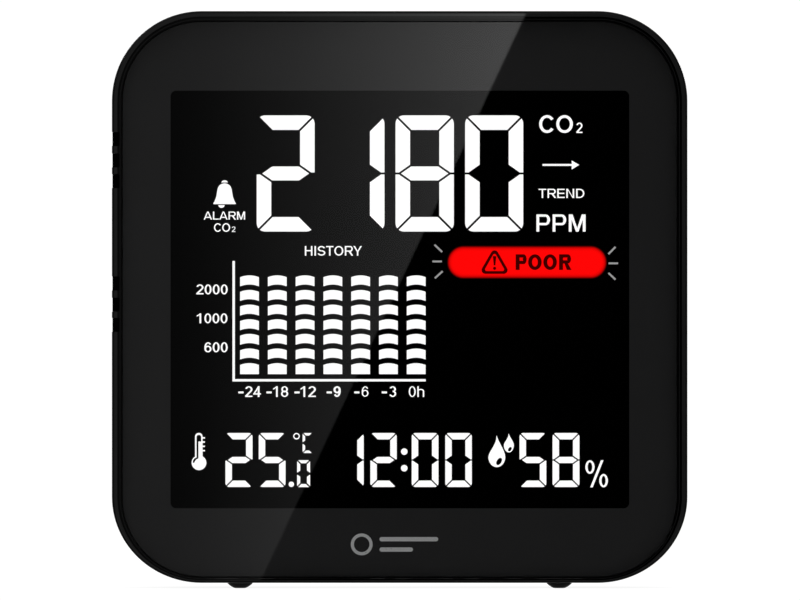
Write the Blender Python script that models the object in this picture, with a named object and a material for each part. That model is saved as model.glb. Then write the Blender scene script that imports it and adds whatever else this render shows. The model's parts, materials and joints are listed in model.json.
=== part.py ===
"""Square desktop carbon dioxide monitor, built as an assembly of separate pieces.

Frame: +X to the right seen from the front, +Y from the front lens to the back, +Z up.
The origin is under the middle of the body, on the plane that the four feet stand on.
Sizes below are in millimetres; depth is counted from the plane of the front rim.
"""

import bpy
import bmesh
import math
from mathutils import Vector

MM = 0.001

# ---------------------------------------------------------------- driving sizes
HALF_W = 50.0            # half the width of the housing
Z_BASE = 0.98            # underside of the housing, above the feet's soles
Z_TOP = 100.33           # top of the housing
R_TOP = 15.6             # radius of the two top corners
R_BOT_X, R_BOT_Z = 15.6, 14.94   # the bottom corners are slightly flattened
DEPTH = 32.0             # front rim to flat back
KEY_PROUD = 0.7          # the keys stand out of the back by this
PART_LINE = 13.0         # depth of the joint between front bezel and rear cover
WALL = 2.0
R_BACK = 4.2             # rounding round the back face

LENS_HALF = 48.2
LENS_Z = (2.02, 98.49)
LENS_R = 13.8
LENS_T = (0.1, 1.7)      # depth of the lens's front and back

OPEN_HALF = 42.7         # opening of the lens seat, which the display tray fills
OPEN_Z = (10.5, 89.7)
SEAT_T = (2.6, 4.4)

TRAY_HALF = 42.3
TRAY_Z = (10.9, 89.3)
TRAY_T = (2.6, 9.2)

BOARD_T = (10.0, 11.6)   # main circuit board
REAR_BOARD_T = (24.2, 25.4)

CASE_SCREWS = [(-35.0, 92.9), (35.0, 92.9), (-35.0, 7.7), (35.0, 7.7)]
BOARD_SCREWS = [(-20.0, 93.0), (20.0, 93.0), (-20.0, 7.4), (20.0, 7.4)]
FEET = [(-27.77, 6.5), (27.77, 6.5), (-27.77, 25.0), (27.77, 25.0)]   # x, depth

VENT_HEIGHT = 2.45
VENTS = [78.1, 74.4, 70.8, 53.0, 49.3, 45.8]      # heights of the slots in the left side
KEYS = [("key_mode", -22.5), ("key_up", -7.5), ("key_down", 7.5), ("key_light", 22.5)]
KEY_Z = 28.0
KEY_SIZE = (10.0, 5.0)
USB_Z = 13.5
LABEL = (-18.0, 26.0, 49.0, 71.0)                  # x0, x1, z0, z1

CORNER = 9               # steps round each corner of the housing
Y_FRONT = -(DEPTH + KEY_PROUD) / 2


def at(x, t, z):
    """A point from its width, its depth behind the front rim and its height, in metres."""
    return Vector((x * MM, (Y_FRONT + t) * MM, z * MM))


# ---------------------------------------------------------------- start clean
for old in list(bpy.data.objects):
    bpy.data.objects.remove(old, do_unlink=True)

root = bpy.data.objects.new("co2_monitor", None)
bpy.context.scene.collection.objects.link(root)


# ---------------------------------------------------------------- materials
def material(name, colour, roughness, metallic=0.0, alpha=1.0, glow=0.0):
    mat = bpy.data.materials.new(name)
    mat.use_nodes = True
    bsdf = mat.node_tree.nodes["Principled BSDF"]
    bsdf.inputs["Base Color"].default_value = (*colour, 1.0)
    bsdf.inputs["Roughness"].default_value = roughness
    bsdf.inputs["Metallic"].default_value = metallic
    bsdf.inputs["Alpha"].default_value = alpha
    if glow:
        bsdf.inputs["Emission Color"].default_value = (*colour, 1.0)
        bsdf.inputs["Emission Strength"].default_value = glow
    return mat


M = {
    "case": material("case_plastic", (0.012, 0.012, 0.013), 0.42),
    "key": material("key_plastic", (0.018, 0.018, 0.019), 0.5),
    "lens": material("lens_acrylic", (0.02, 0.02, 0.022), 0.04, alpha=0.35),
    "tape": material("adhesive_tape", (0.02, 0.02, 0.02), 0.9),
    "polariser": material("polariser_film", (0.03, 0.035, 0.04), 0.25),
    "glass": material("display_glass", (0.55, 0.6, 0.62), 0.05, alpha=0.4),
    "white_film": material("white_film", (0.85, 0.86, 0.86), 0.6),
    "guide": material("light_guide_acrylic", (0.8, 0.84, 0.86), 0.1, alpha=0.5),
    "white_plastic": material("white_plastic", (0.75, 0.75, 0.73), 0.45),
    "silicone": material("silicone_rubber", (0.35, 0.36, 0.38), 0.8),
    "board": material("circuit_board", (0.01, 0.11, 0.045), 0.35),
    "chip": material("chip_epoxy", (0.02, 0.02, 0.022), 0.55),
    "gold": material("gold_plated_chamber", (0.72, 0.5, 0.2), 0.28, 1.0),
    "membrane": material("white_membrane", (0.8, 0.8, 0.78), 0.95),
    "steel": material("plated_steel", (0.55, 0.55, 0.56), 0.3, 1.0),
    "screw": material("black_screw_steel", (0.06, 0.06, 0.065), 0.38, 1.0),
    "pouch": material("aluminium_pouch", (0.5, 0.52, 0.54), 0.4, 0.8),
    "cream": material("cream_connector", (0.72, 0.66, 0.52), 0.5),
    "red": material("red_wire", (0.45, 0.02, 0.02), 0.5),
    "black_wire": material("black_wire", (0.015, 0.015, 0.015), 0.5),
    "ribbon": material("ribbon_film", (0.7, 0.71, 0.72), 0.4),
    "rubber": material("black_rubber", (0.01, 0.01, 0.01), 0.85),
    "foam": material("filter_foam", (0.03, 0.03, 0.03), 0.95),
    "label": material("plain_label", (0.3, 0.3, 0.31), 0.5),
}


# ---------------------------------------------------------------- mesh helpers
def finish(name, bm, mat, origin, parent=None, smooth=True, helper=False):
    """Turns a bmesh in metres, in world space, into an object whose origin is at origin."""
    bmesh.ops.recalc_face_normals(bm, faces=bm.faces)
    bm.verts.ensure_lookup_table()
    for v in bm.verts:
        v.co -= origin
    mesh = bpy.data.meshes.new(name)
    bm.to_mesh(mesh)
    bm.free()
    if smooth:
        mesh.shade_smooth()
        mesh.set_sharp_from_angle(angle=math.radians(32))
    obj = bpy.data.objects.new(name, mesh)
    bpy.context.scene.collection.objects.link(obj)
    holder = parent or root
    obj.parent = holder
    obj.location = origin - holder.location
    if helper:
        obj.hide_render = True
        obj.display_type = "WIRE"
    else:
        mesh.materials.append(mat)
    return obj


def add_loft(bm, rings, loop=False):
    """Skins rings of equal point counts. The ends are capped, or joined to each other with loop."""
    made = [[bm.verts.new(p) for p in ring] for ring in rings]
    n = len(made[0])
    pairs = list(zip(made, made[1:]))
    if loop:
        pairs.append((made[-1], made[0]))
    for a, b in pairs:
        for i in range(n):
            j = (i + 1) % n
            bm.faces.new((a[i], a[j], b[j], b[i]))
    if not loop:
        bm.faces.new(list(reversed(made[0])))
        bm.faces.new(made[-1])


def corner_arc(cx, cz, rx, rz, start, steps):
    """Points of a quarter ellipse, from the angle start, turning anticlockwise."""
    for k in range(steps + 1):
        a = math.radians(start + 90.0 * k / steps)
        yield (cx + rx * math.cos(a), cz + rz * math.sin(a))


def rounded(x0, x1, z0, z1, r, steps=CORNER):
    """A rectangle with round corners, anticlockwise from its lower right corner."""
    return [
        *corner_arc(x1 - r, z0 + r, r, r, -90, steps),
        *corner_arc(x1 - r, z1 - r, r, r, 0, steps),
        *corner_arc(x0 + r, z1 - r, r, r, 90, steps),
        *corner_arc(x0 + r, z0 + r, r, r, 180, steps),
    ]


def housing(d, low=None, steps=CORNER):
    """The housing's outline set in by d, and by low at its flat base."""
    low = d if low is None else low
    cx, top, bot = HALF_W - R_TOP, Z_TOP - R_TOP, Z_BASE + R_BOT_Z
    return [
        *corner_arc(cx, bot, R_BOT_X - d, R_BOT_Z - low, -90, steps),
        *corner_arc(cx, top, R_TOP - d, R_TOP - d, 0, steps),
        *corner_arc(-cx, top, R_TOP - d, R_TOP - d, 90, steps),
        *corner_arc(-cx, bot, R_BOT_X - d, R_BOT_Z - low, 180, steps),
    ]


def ring(outline, t):
    return [at(x, t, z) for x, z in outline]


def slab(bm, outline, t0, t1, edge=0.0, inner=None):
    """A flat plate of that outline from depth t0 to t1. inner is the outline of its chamfered front."""
    rings = [ring(outline, t1)]
    if edge and inner:
        rings += [ring(outline, t0 + edge), ring(inner, t0)]
    else:
        rings += [ring(outline, t0)]
    add_loft(bm, rings)


def plate(name, outline, t0, t1, mat, **more):
    bm = bmesh.new()
    slab(bm, outline, t0, t1)
    xs, zs = [p[0] for p in outline], [p[1] for p in outline]
    centre = at((min(xs) + max(xs)) / 2, (t0 + t1) / 2, (min(zs) + max(zs)) / 2)
    return finish(name, bm, M[mat], centre, **more)


def add_box(bm, x0, x1, t0, t1, z0, z1):
    add_loft(bm, [ring([(x1, z0), (x1, z1), (x0, z1), (x0, z0)], t) for t in (t1, t0)])


def box(name, x0, x1, t0, t1, z0, z1, mat, bevel=0.0, segments=1, **more):
    bm = bmesh.new()
    add_box(bm, x0, x1, t0, t1, z0, z1)
    obj = finish(name, bm, M[mat], at((x0 + x1) / 2, (t0 + t1) / 2, (z0 + z1) / 2), smooth=False, **more)
    if bevel:
        mod = obj.modifiers.new("soft_edges", "BEVEL")
        mod.width = bevel * MM
        mod.segments = segments
    return obj


def circle(x, z, r, n=20):
    return [(x + r * math.cos(2 * math.pi * k / n), z + r * math.sin(2 * math.pi * k / n)) for k in range(n)]


def add_turned(bm, x, z, profile, n=20):
    """A piece turned about an axis along the depth. profile is (radius, depth) from one end to the other."""
    rings = [ring(circle(x, z, max(r, 1e-3), n), t) for r, t in profile]
    add_loft(bm, rings)


def turned(name, x, z, profile, mat, n=20, **more):
    bm = bmesh.new()
    add_turned(bm, x, z, profile, n)
    ts = [t for _, t in profile]
    return finish(name, bm, M[mat], at(x, (min(ts) + max(ts)) / 2, z), **more)


def stadium(x, z, w, h, grow=0.0, steps=5):
    w, h = w + 2 * grow, h + 2 * grow
    r = min(w, h) / 2 - 1e-3
    return rounded(x - w / 2, x + w / 2, z - h / 2, z + h / 2, r, steps)


def boolean(obj, kind, bm, label):
    """Cuts from obj, or joins to it, every closed body held in bm."""
    tool = finish(f"{obj.name}_{label}", bm, None, at(0, 0, 0), helper=True, smooth=False)
    mod = obj.modifiers.new(label, "BOOLEAN")
    mod.operation = kind
    mod.solver = "EXACT"
    mod.object = tool
    return mod


# ---------------------------------------------------------------- front bezel
bm = bmesh.new()
opening = rounded(-OPEN_HALF, OPEN_HALF, *OPEN_Z, 2.0)
profile = [
    ring(housing(0.25), PART_LINE),
    ring(housing(0.0), PART_LINE - 0.25),
    ring(housing(0.0), 0.4),
    ring(housing(0.054, 0.05), 0.2),
    ring(housing(0.2, 0.17), 0.054),
    ring(housing(0.4, 0.34), 0.0),
    ring(housing(0.85, 0.40), 0.0),
    ring(housing(0.90, 0.44), 0.05),
    ring(housing(0.90, 0.44), 0.7),
    ring(housing(1.62, 0.90), 0.7),
    ring(housing(1.62, 0.90), SEAT_T[0]),
    ring(opening, SEAT_T[0]),
    ring(opening, SEAT_T[1]),
    ring(housing(WALL), SEAT_T[1]),
    ring(housing(WALL), 11.3),
    ring(housing(1.1), 11.3),
    ring(housing(1.1), PART_LINE),
]
add_loft(bm, profile, loop=True)
bezel = finish("front_bezel", bm, M["case"], at(0, PART_LINE / 2, 50))

bm = bmesh.new()
for x, z in CASE_SCREWS:
    add_turned(bm, x, z, [(2.8, 3.6), (2.8, 15.9)], 16)
for x, z in BOARD_SCREWS:
    add_turned(bm, x, z, [(2.5, 3.6), (2.5, 9.7)], 16)
boolean(bezel, "UNION", bm, "bosses")

bm = bmesh.new()
for x, z in CASE_SCREWS:
    add_turned(bm, x, z, [(1.5, 7.5), (1.5, 16.5)], 12)
for x, z in BOARD_SCREWS:
    add_turned(bm, x, z, [(1.2, 5.5), (1.2, 10.5)], 12)
for z in VENTS:
    h = VENT_HEIGHT / 2
    # one stepped body: a shallow notch through the rim, then a slot through the whole wall
    side = [(-1.0, -1), (7.6, -1), (7.6, 4.0), (4.9, 4.0), (4.9, 1.36), (-1.0, 1.36)]
    lows = [at(-HALF_W + d, t, z - h) for t, d in side]
    highs = [at(-HALF_W + d, t, z + h) for t, d in side]
    add_loft(bm, [lows, highs])
for x, t in FEET[:2]:
    rings = [[at(x + 1.55 * math.cos(a), t + 1.55 * math.sin(a), z) for a in [2 * math.pi * k / 16 for k in range(16)]] for z in (0.0, 3.6)]
    add_loft(bm, rings)
boolean(bezel, "DIFFERENCE", bm, "cuts")

# ---------------------------------------------------------------- lens and its tape
lens_outline = rounded(-LENS_HALF, LENS_HALF, *LENS_Z, LENS_R)
lens_front = rounded(-LENS_HALF + 0.25, LENS_HALF - 0.25, LENS_Z[0] + 0.25, LENS_Z[1] - 0.25, LENS_R - 0.25)
bm = bmesh.new()
slab(bm, lens_outline, *LENS_T, edge=0.25, inner=lens_front)
finish("front_lens", bm, M["lens"], at(0, 1.0, 50.25))

bm = bmesh.new()
tape_out = rounded(-LENS_HALF + 1.0, LENS_HALF - 1.0, LENS_Z[0] + 1.0, LENS_Z[1] - 1.0, LENS_R - 1.0)
tape_in = rounded(-OPEN_HALF - 0.5, OPEN_HALF + 0.5, OPEN_Z[0] - 0.5, OPEN_Z[1] + 0.5, 2.5)
add_loft(bm, [ring(tape_out, 2.3), ring(tape_out, 2.0), ring(tape_in, 2.0), ring(tape_in, 2.3)], loop=True)
finish("lens_tape", bm, M["tape"], at(0, 2.15, 50.25))

# ---------------------------------------------------------------- display stack
plate("front_polariser", rounded(-40.9, 40.9, 13.2, 87.6, 0.8, 2), 2.0, 2.2, "polariser")
plate("lcd_front_glass", rounded(-41.4, 41.4, 11.6, 88.5, 0.8, 2), 2.5, 3.1, "glass")
plate("lcd_rear_glass", rounded(-41.4, 41.4, 14.0, 88.5, 0.8, 2), 3.4, 4.0, "glass")
plate("rear_polariser", rounded(-40.9, 40.9, 14.4, 88.3, 0.8, 2), 4.3, 4.5, "polariser")
plate("diffuser_sheet", rounded(-41.2, 39.2, 14.2, 88.3, 0.8, 2), 4.8, 5.1, "white_film")
plate("light_guide", rounded(-41.2, 39.0, 14.2, 88.3, 0.8, 2), 5.4, 7.6, "guide")
plate("reflector_sheet", rounded(-41.2, 39.2, 14.2, 88.3, 0.8, 2), 7.9, 8.1, "white_film")

bar = box("backlight_led_bar", 40.4, 41.4, 5.4, 7.6, 15.0, 87.5, "board")
bm = bmesh.new()
for k in range(6):
    z = 20.0 + 12.2 * k
    add_box(bm, 39.3, 40.7, 5.7, 7.3, z - 1.5, z + 1.5)
boolean(bar, "UNION", bm, "lamps")

bm = bmesh.new()
outer = rounded(-TRAY_HALF, TRAY_HALF, *TRAY_Z, 1.6, 4)
inner = rounded(-TRAY_HALF + 0.6, TRAY_HALF - 0.6, TRAY_Z[0] + 0.4, TRAY_Z[1] - 0.5, 0.9, 4)
add_loft(bm, [ring(outer, TRAY_T[1]), ring(outer, TRAY_T[0]), ring(inner, TRAY_T[0]), ring(inner, 8.4)])
tray = finish("lcd_tray", bm, M["white_plastic"], at(0, 5.85, 50.1))
bm = bmesh.new()
add_box(bm, -38.4, 38.4, 7.0, 10.0, 11.5, 13.7)
boolean(tray, "DIFFERENCE", bm, "strip_slot")

box("zebra_strip", -38.0, 38.0, 3.4, 9.7, 11.9, 13.3, "silicone")

# ---------------------------------------------------------------- main board
bm = bmesh.new()
slab(bm, rounded(-46.6, 46.6, 4.6, 96.2, 12.0, 6), *BOARD_T)
board = finish("main_board", bm, M["board"], at(0, 10.8, 50.4))
bm = bmesh.new()
for x, z in CASE_SCREWS:
    add_turned(bm, x, z, [(3.2, 9.0), (3.2, 12.5)], 16)
for x, z in BOARD_SCREWS:
    add_turned(bm, x, z, [(1.25, 9.0), (1.25, 12.5)], 12)
add_box(bm, -48.0, -44.0, 9.0, 12.5, 44.0, 55.0)       # air ways behind the side slots
add_box(bm, -48.0, -44.0, 9.0, 12.5, 69.0, 80.0)
boolean(board, "DIFFERENCE", bm, "holes")

box("controller_chip", 4.0, 16.0, 11.9, 13.3, 46.0, 58.0, "chip", 0.25)
box("humidity_sensor", -43.2, -40.4, 11.9, 13.0, 48.0, 50.8, "chip", 0.15)

# carbon dioxide sensor module: its own small board, header and gilded optical chamber
box("co2_sensor_header", -40.4, -38.0, 11.9, 14.0, 60.0, 82.0, "chip")
box("co2_sensor_board", -41.5, -21.5, 14.3, 15.3, 55.5, 88.5, "board")
box("co2_sensor_chamber", -37.2, -22.8, 15.6, 21.6, 58.0, 86.0, "gold", 0.9, 2)
box("co2_sensor_membrane", -34.0, -26.0, 21.9, 22.2, 62.0, 82.0, "membrane")

turned("buzzer", 31.0, 80.0, [(6.0, 11.9), (6.0, 18.4), (5.5, 18.9), (1.0, 18.9), (1.0, 17.4)], "chip", 24)

box("battery_socket", 10.0, 18.0, 11.9, 16.5, 81.5, 86.5, "cream")
box("battery_plug", 10.8, 17.2, 16.8, 20.9, 81.9, 86.1, "cream", 0.3)

box("ribbon_socket_main", -5.5, 5.5, 11.9, 13.9, 16.0, 20.0, "cream")
box("ribbon_socket_rear", -5.5, 5.5, 21.9, 23.9, 16.0, 20.0, "cream")
bm = bmesh.new()
path = [(12.9, 20.3), (12.9, 24.0)]
path += [(17.9 - 5.0 * math.cos(math.pi * k / 12), 24.0 + 5.0 * math.sin(math.pi * k / 12)) for k in range(1, 12)]
path += [(22.9, 24.0), (22.9, 20.3)]
rings = []
for k, (t, z) in enumerate(path):
    a, b = path[max(k - 1, 0)], path[min(k + 1, len(path) - 1)]
    along = Vector((b[0] - a[0], b[1] - a[1])).normalized()
    nt, nz = -along.y * 0.15, along.x * 0.15
    rings.append([at(-4.0, t - nt, z - nz), at(4.0, t - nt, z - nz), at(4.0, t + nt, z + nz), at(-4.0, t + nt, z + nz)])
add_loft(bm, rings)
finish("ribbon_cable", bm, M["ribbon"], at(0, 17.9, 24.0), smooth=False)

# ---------------------------------------------------------------- battery and its leads
box("battery_cell", -17.0, 33.0, 23.0, 28.9, 39.0, 73.0, "pouch", 1.4, 2)
box("battery_tape", -9.0, 25.0, 29.2, 29.7, 46.0, 66.0, "tape")


def smooth_path(points, steps):
    """A Catmull-Rom curve through the points."""
    full = [points[0], *points, points[-1]]
    out = []
    for i in range(1, len(full) - 2):
        p0, p1, p2, p3 = (Vector(p) for p in full[i - 1 : i + 3])
        for k in range(steps):
            s = k / steps
            out.append(0.5 * ((2 * p1) + (p2 - p0) * s + (2 * p0 - 5 * p1 + 4 * p2 - p3) * s * s + (3 * p1 - p0 - 3 * p2 + p3) * s ** 3))
    out.append(Vector(full[-2]))
    return out


for name, shift, mat in (("battery_lead_positive", -1.2, "red"), ("battery_lead_negative", 1.2, "black_wire")):
    x = 14.0 + shift
    route = [(x, 21.2, 84.0), (x, 22.9, 84.0), (x, 25.2, 82.6), (x, 26.0, 79.4), (x, 26.0, 76.0), (x, 26.0, 73.3)]
    points = smooth_path(route, 4)
    origin = at(x, 24.0, 79.0)
    curve = bpy.data.curves.new(name, "CURVE")
    curve.dimensions = "3D"
    curve.bevel_depth = 0.6 * MM
    curve.bevel_resolution = 2
    curve.use_fill_caps = True
    spline = curve.splines.new("POLY")
    spline.points.add(len(points) - 1)
    for p, q in zip(spline.points, points):
        p.co = (*(at(*q) - origin), 1.0)
    curve.materials.append(M[mat])
    lead = bpy.data.objects.new(name, curve)
    bpy.context.scene.collection.objects.link(lead)
    lead.parent = root
    lead.location = origin

# ---------------------------------------------------------------- rear board, switches, socket
bm = bmesh.new()
slab(bm, rounded(-30.0, 30.0, 9.6, 33.4, 1.0, 2), *REAR_BOARD_T)
rear_board = finish("rear_board", bm, M["board"], at(0, 24.8, 21.5))
PEGS = [(-27.0, 15.0), (27.0, 15.0)]
bm = bmesh.new()
for x, z in PEGS:
    add_turned(bm, x, z, [(1.25, 23.5), (1.25, 26.0)], 12)
boolean(rear_board, "DIFFERENCE", bm, "holes")

bm = bmesh.new()
shell_out, shell_in = stadium(0, USB_Z, 8.94, 3.26), stadium(0, USB_Z, 8.34, 2.66)
add_loft(bm, [ring(shell_out, 25.7), ring(shell_out, 31.4), ring(shell_in, 31.4), ring(shell_in, 26.3)])
usb = finish("usb_socket", bm, M["steel"], at(0, 28.5, USB_Z))
bm = bmesh.new()
add_box(bm, -3.3, 3.3, 26.0, 30.9, USB_Z - 0.35, USB_Z + 0.35)
boolean(usb, "UNION", bm, "tongue")

for k, (name, x) in enumerate(KEYS, 1):
    switch = box(f"tact_switch_{k}", x - 3.0, x + 3.0, 25.7, 28.1, KEY_Z - 3.0, KEY_Z + 3.0, "chip")
    bm = bmesh.new()
    add_turned(bm, x, KEY_Z, [(1.85, 26.5), (1.85, 29.0)], 16)
    boolean(switch, "DIFFERENCE", bm, "bore")
    slide = bpy.data.objects.new(f"{name}_slide", None)     # on the key's own axis
    bpy.context.scene.collection.objects.link(slide)
    slide.parent = root
    slide.location = at(x, 30.0, KEY_Z)
    bm = bmesh.new()
    w, h = KEY_SIZE
    add_loft(bm, [
        ring(stadium(x, KEY_Z, w, h, 0.8), 29.0),
        ring(stadium(x, KEY_Z, w, h, 0.8), 29.7),
        ring(stadium(x, KEY_Z, w, h, 0.0), 29.7),
        ring(stadium(x, KEY_Z, w, h, 0.0), 32.35),
        ring(stadium(x, KEY_Z, w, h, -0.12), 32.58),
        ring(stadium(x, KEY_Z, w, h, -0.4), 32.7),
    ])
    finish(name, bm, M["key"], at(x, 30.0, KEY_Z), parent=slide)
    bm = bmesh.new()
    add_turned(bm, x, KEY_Z, [(1.55, 27.3), (1.55, 28.7)], 16)
    finish(f"switch_plunger_{k}", bm, M["white_plastic"], at(x, 30.0, KEY_Z), parent=slide)

# ---------------------------------------------------------------- rear cover
bm = bmesh.new()
rings = []
for k in range(5, -1, -1):
    a = math.radians(18 * k)
    rings.append(ring(housing(R_BACK * (1 - math.cos(a))), DEPTH - R_BACK + R_BACK * math.sin(a)))
rings += [
    ring(housing(0.0), PART_LINE + 0.5),
    ring(housing(0.25), PART_LINE + 0.25),
    ring(housing(1.25), PART_LINE + 0.25),
    ring(housing(1.25), 11.5),
    ring(housing(WALL + 0.05), 11.5),
]
for k in range(0, 4):
    a = math.radians(30 * k)
    rings.append(ring(housing(WALL + 0.05 + 3.1 * (1 - math.cos(a))), 26.9 + 3.1 * math.sin(a)))
add_loft(bm, rings)
cover = finish("rear_cover", bm, M["case"], at(0, 22, 50))

bm = bmesh.new()
for x, z in CASE_SCREWS:
    add_turned(bm, x, z, [(4.6, 16.2), (4.6, 30.8)], 18)
for x, z in PEGS:
    add_turned(bm, x, z, [(0.95, 22.9), (0.95, 25.7), (2.2, 25.7), (2.2, 30.8)], 12)
boolean(cover, "UNION", bm, "bosses")

bm = bmesh.new()
for x, z in CASE_SCREWS:
    add_turned(bm, x, z, [(1.5, 15.0), (1.5, 18.2), (2.8, 18.2), (2.8, 33.0)], 18)
for name, x in KEYS:
    add_loft(bm, [ring(stadium(x, KEY_Z, *KEY_SIZE, 0.2), t) for t in (29.0, 33.0)])
add_loft(bm, [ring(stadium(0, USB_Z, 9.7, 4.0), t) for t in (29.0, 33.0)])
for k in range(6):
    z = 57.0 + 3.6 * k
    add_loft(bm, [ring(stadium(-31.0, z, 16.0, 1.7, 0, 2), t) for t in (29.0, 33.0)])
for k in range(7):
    a = math.radians(60 * k)
    x, z = (31.0, 80.0) if k == 6 else (31.0 + 3.2 * math.cos(a), 80.0 + 3.2 * math.sin(a))
    add_turned(bm, x, z, [(0.8, 29.0), (0.8, 33.0)], 10)
x0, x1, z0, z1 = LABEL
add_loft(bm, [ring(rounded(x0 - 0.3, x1 + 0.3, z0 - 0.3, z1 + 0.3, 1.3, 3), t) for t in (31.5, 33.0)])
for x, t in FEET[2:]:
    add_loft(bm, [[at(x + 1.55 * math.cos(a), t + 1.55 * math.sin(a), z) for a in [2 * math.pi * k / 16 for k in range(16)]] for z in (0.0, 3.6)])
boolean(cover, "DIFFERENCE", bm, "cuts")

plate("rating_label", rounded(x0, x1, z0, z1, 1.0, 3), 31.8, 31.95, "label")

# the foam filter that lies behind the side slots
box("dust_filter", -47.7, -47.0, 4.7, 11.0, 43.5, 80.5, "foam")

# ---------------------------------------------------------------- fasteners
for k, (x, z) in enumerate(CASE_SCREWS, 1):
    screw = turned(f"case_screw_{k}", x, z, [(0.5, 8.0), (1.2, 9.5), (1.2, 18.5), (2.45, 18.5), (2.45, 19.6), (1.7, 20.3)], "screw", 16)
    bm = bmesh.new()
    cross = [(0.3, -1.4), (0.3, -0.3), (1.4, -0.3), (1.4, 0.3), (0.3, 0.3), (0.3, 1.4), (-0.3, 1.4), (-0.3, 0.3), (-1.4, 0.3), (-1.4, -0.3), (-0.3, -0.3), (-0.3, -1.4)]
    add_loft(bm, [ring([(x + a, z + b) for a, b in cross], t) for t in (19.4, 21.0)])
    boolean(screw, "DIFFERENCE", bm, "driver_recess")
for k, (x, z) in enumerate(BOARD_SCREWS, 1):
    turned(f"board_screw_{k}", x, z, [(0.4, 6.2), (0.9, 7.2), (0.9, 11.9), (1.8, 11.9), (1.8, 12.7), (1.2, 13.1)], "screw", 12)

# ---------------------------------------------------------------- feet
FOOT = [(1.0, 0.0), (1.24, 0.14), (1.58, 0.35), (1.84, 0.52), (2.05, 0.70), (2.2, 0.88), (1.3, 0.88), (1.3, 3.15), (1.75, 3.25), (1.2, 3.9)]
for k, (x, t) in enumerate(FEET, 1):
    bm = bmesh.new()
    rings = []
    for r, z in FOOT:
        rings.append([at(x + r * math.cos(a), t + r * math.sin(a), z) for a in [2 * math.pi * j / 18 for j in range(18)]])
    add_loft(bm, rings)
    finish(f"foot_{k}", bm, M["rubber"], at(x, t, 0))
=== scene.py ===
"""Looks of the square desktop carbon dioxide monitor.

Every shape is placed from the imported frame's own boxes. Lengths in this file are millimetres unless a
name ends in _M: x is the width from the middle, t the depth behind the front rim, z the height.
"""

import json
import math

import bmesh
import bpy
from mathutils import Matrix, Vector


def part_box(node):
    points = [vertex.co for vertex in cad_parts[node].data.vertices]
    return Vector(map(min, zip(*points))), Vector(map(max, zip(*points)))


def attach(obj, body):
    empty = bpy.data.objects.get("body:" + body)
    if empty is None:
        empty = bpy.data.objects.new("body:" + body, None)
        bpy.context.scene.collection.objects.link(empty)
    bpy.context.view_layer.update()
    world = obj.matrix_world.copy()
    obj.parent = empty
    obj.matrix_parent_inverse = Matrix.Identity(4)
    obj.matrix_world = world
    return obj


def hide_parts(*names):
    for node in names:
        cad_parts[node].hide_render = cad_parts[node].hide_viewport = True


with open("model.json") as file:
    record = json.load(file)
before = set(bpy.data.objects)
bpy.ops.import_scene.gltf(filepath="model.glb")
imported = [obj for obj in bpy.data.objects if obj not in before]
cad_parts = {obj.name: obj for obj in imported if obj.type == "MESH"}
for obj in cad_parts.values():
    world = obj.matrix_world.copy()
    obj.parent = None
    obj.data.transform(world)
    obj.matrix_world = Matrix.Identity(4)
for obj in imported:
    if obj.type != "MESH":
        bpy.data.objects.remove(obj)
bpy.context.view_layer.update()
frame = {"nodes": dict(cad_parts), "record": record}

MM = 0.001
SCENE = bpy.context.scene
ROOT = next(b for b, nodes in frame["record"]["behaviour"]["bodies"].items() if "front_bezel" in nodes)


def box_mm(name):
    lo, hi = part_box(name)
    return [v / MM for v in lo], [v / MM for v in hi]


def body_of(node):
    return next(b for b, nodes in frame["record"]["behaviour"]["bodies"].items() if node in nodes)


BEZEL_LO, BEZEL_HI = box_mm("front_bezel")
COVER_LO, COVER_HI = box_mm("rear_cover")
LENS_LO, LENS_HI = box_mm("front_lens")
Y_FRONT = BEZEL_LO[1]                       # the plane of the front rim
HALF_W = BEZEL_HI[0]
Z_BASE, Z_TOP = BEZEL_LO[2], BEZEL_HI[2]
DEPTH = COVER_HI[1] - Y_FRONT
PART_LINE = 13.0
LENS_T = (LENS_LO[1] - Y_FRONT, LENS_HI[1] - Y_FRONT)
LENS_CX, LENS_CZ = (LENS_LO[0] + LENS_HI[0]) / 2, (LENS_LO[2] + LENS_HI[2]) / 2
LENS_HALF = (LENS_HI[0] - LENS_LO[0]) / 2

STEPS = 28                                  # steps round each corner of the housing


def at(x, t, z):
    return Vector((x * MM, (Y_FRONT + t) * MM, z * MM))


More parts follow.
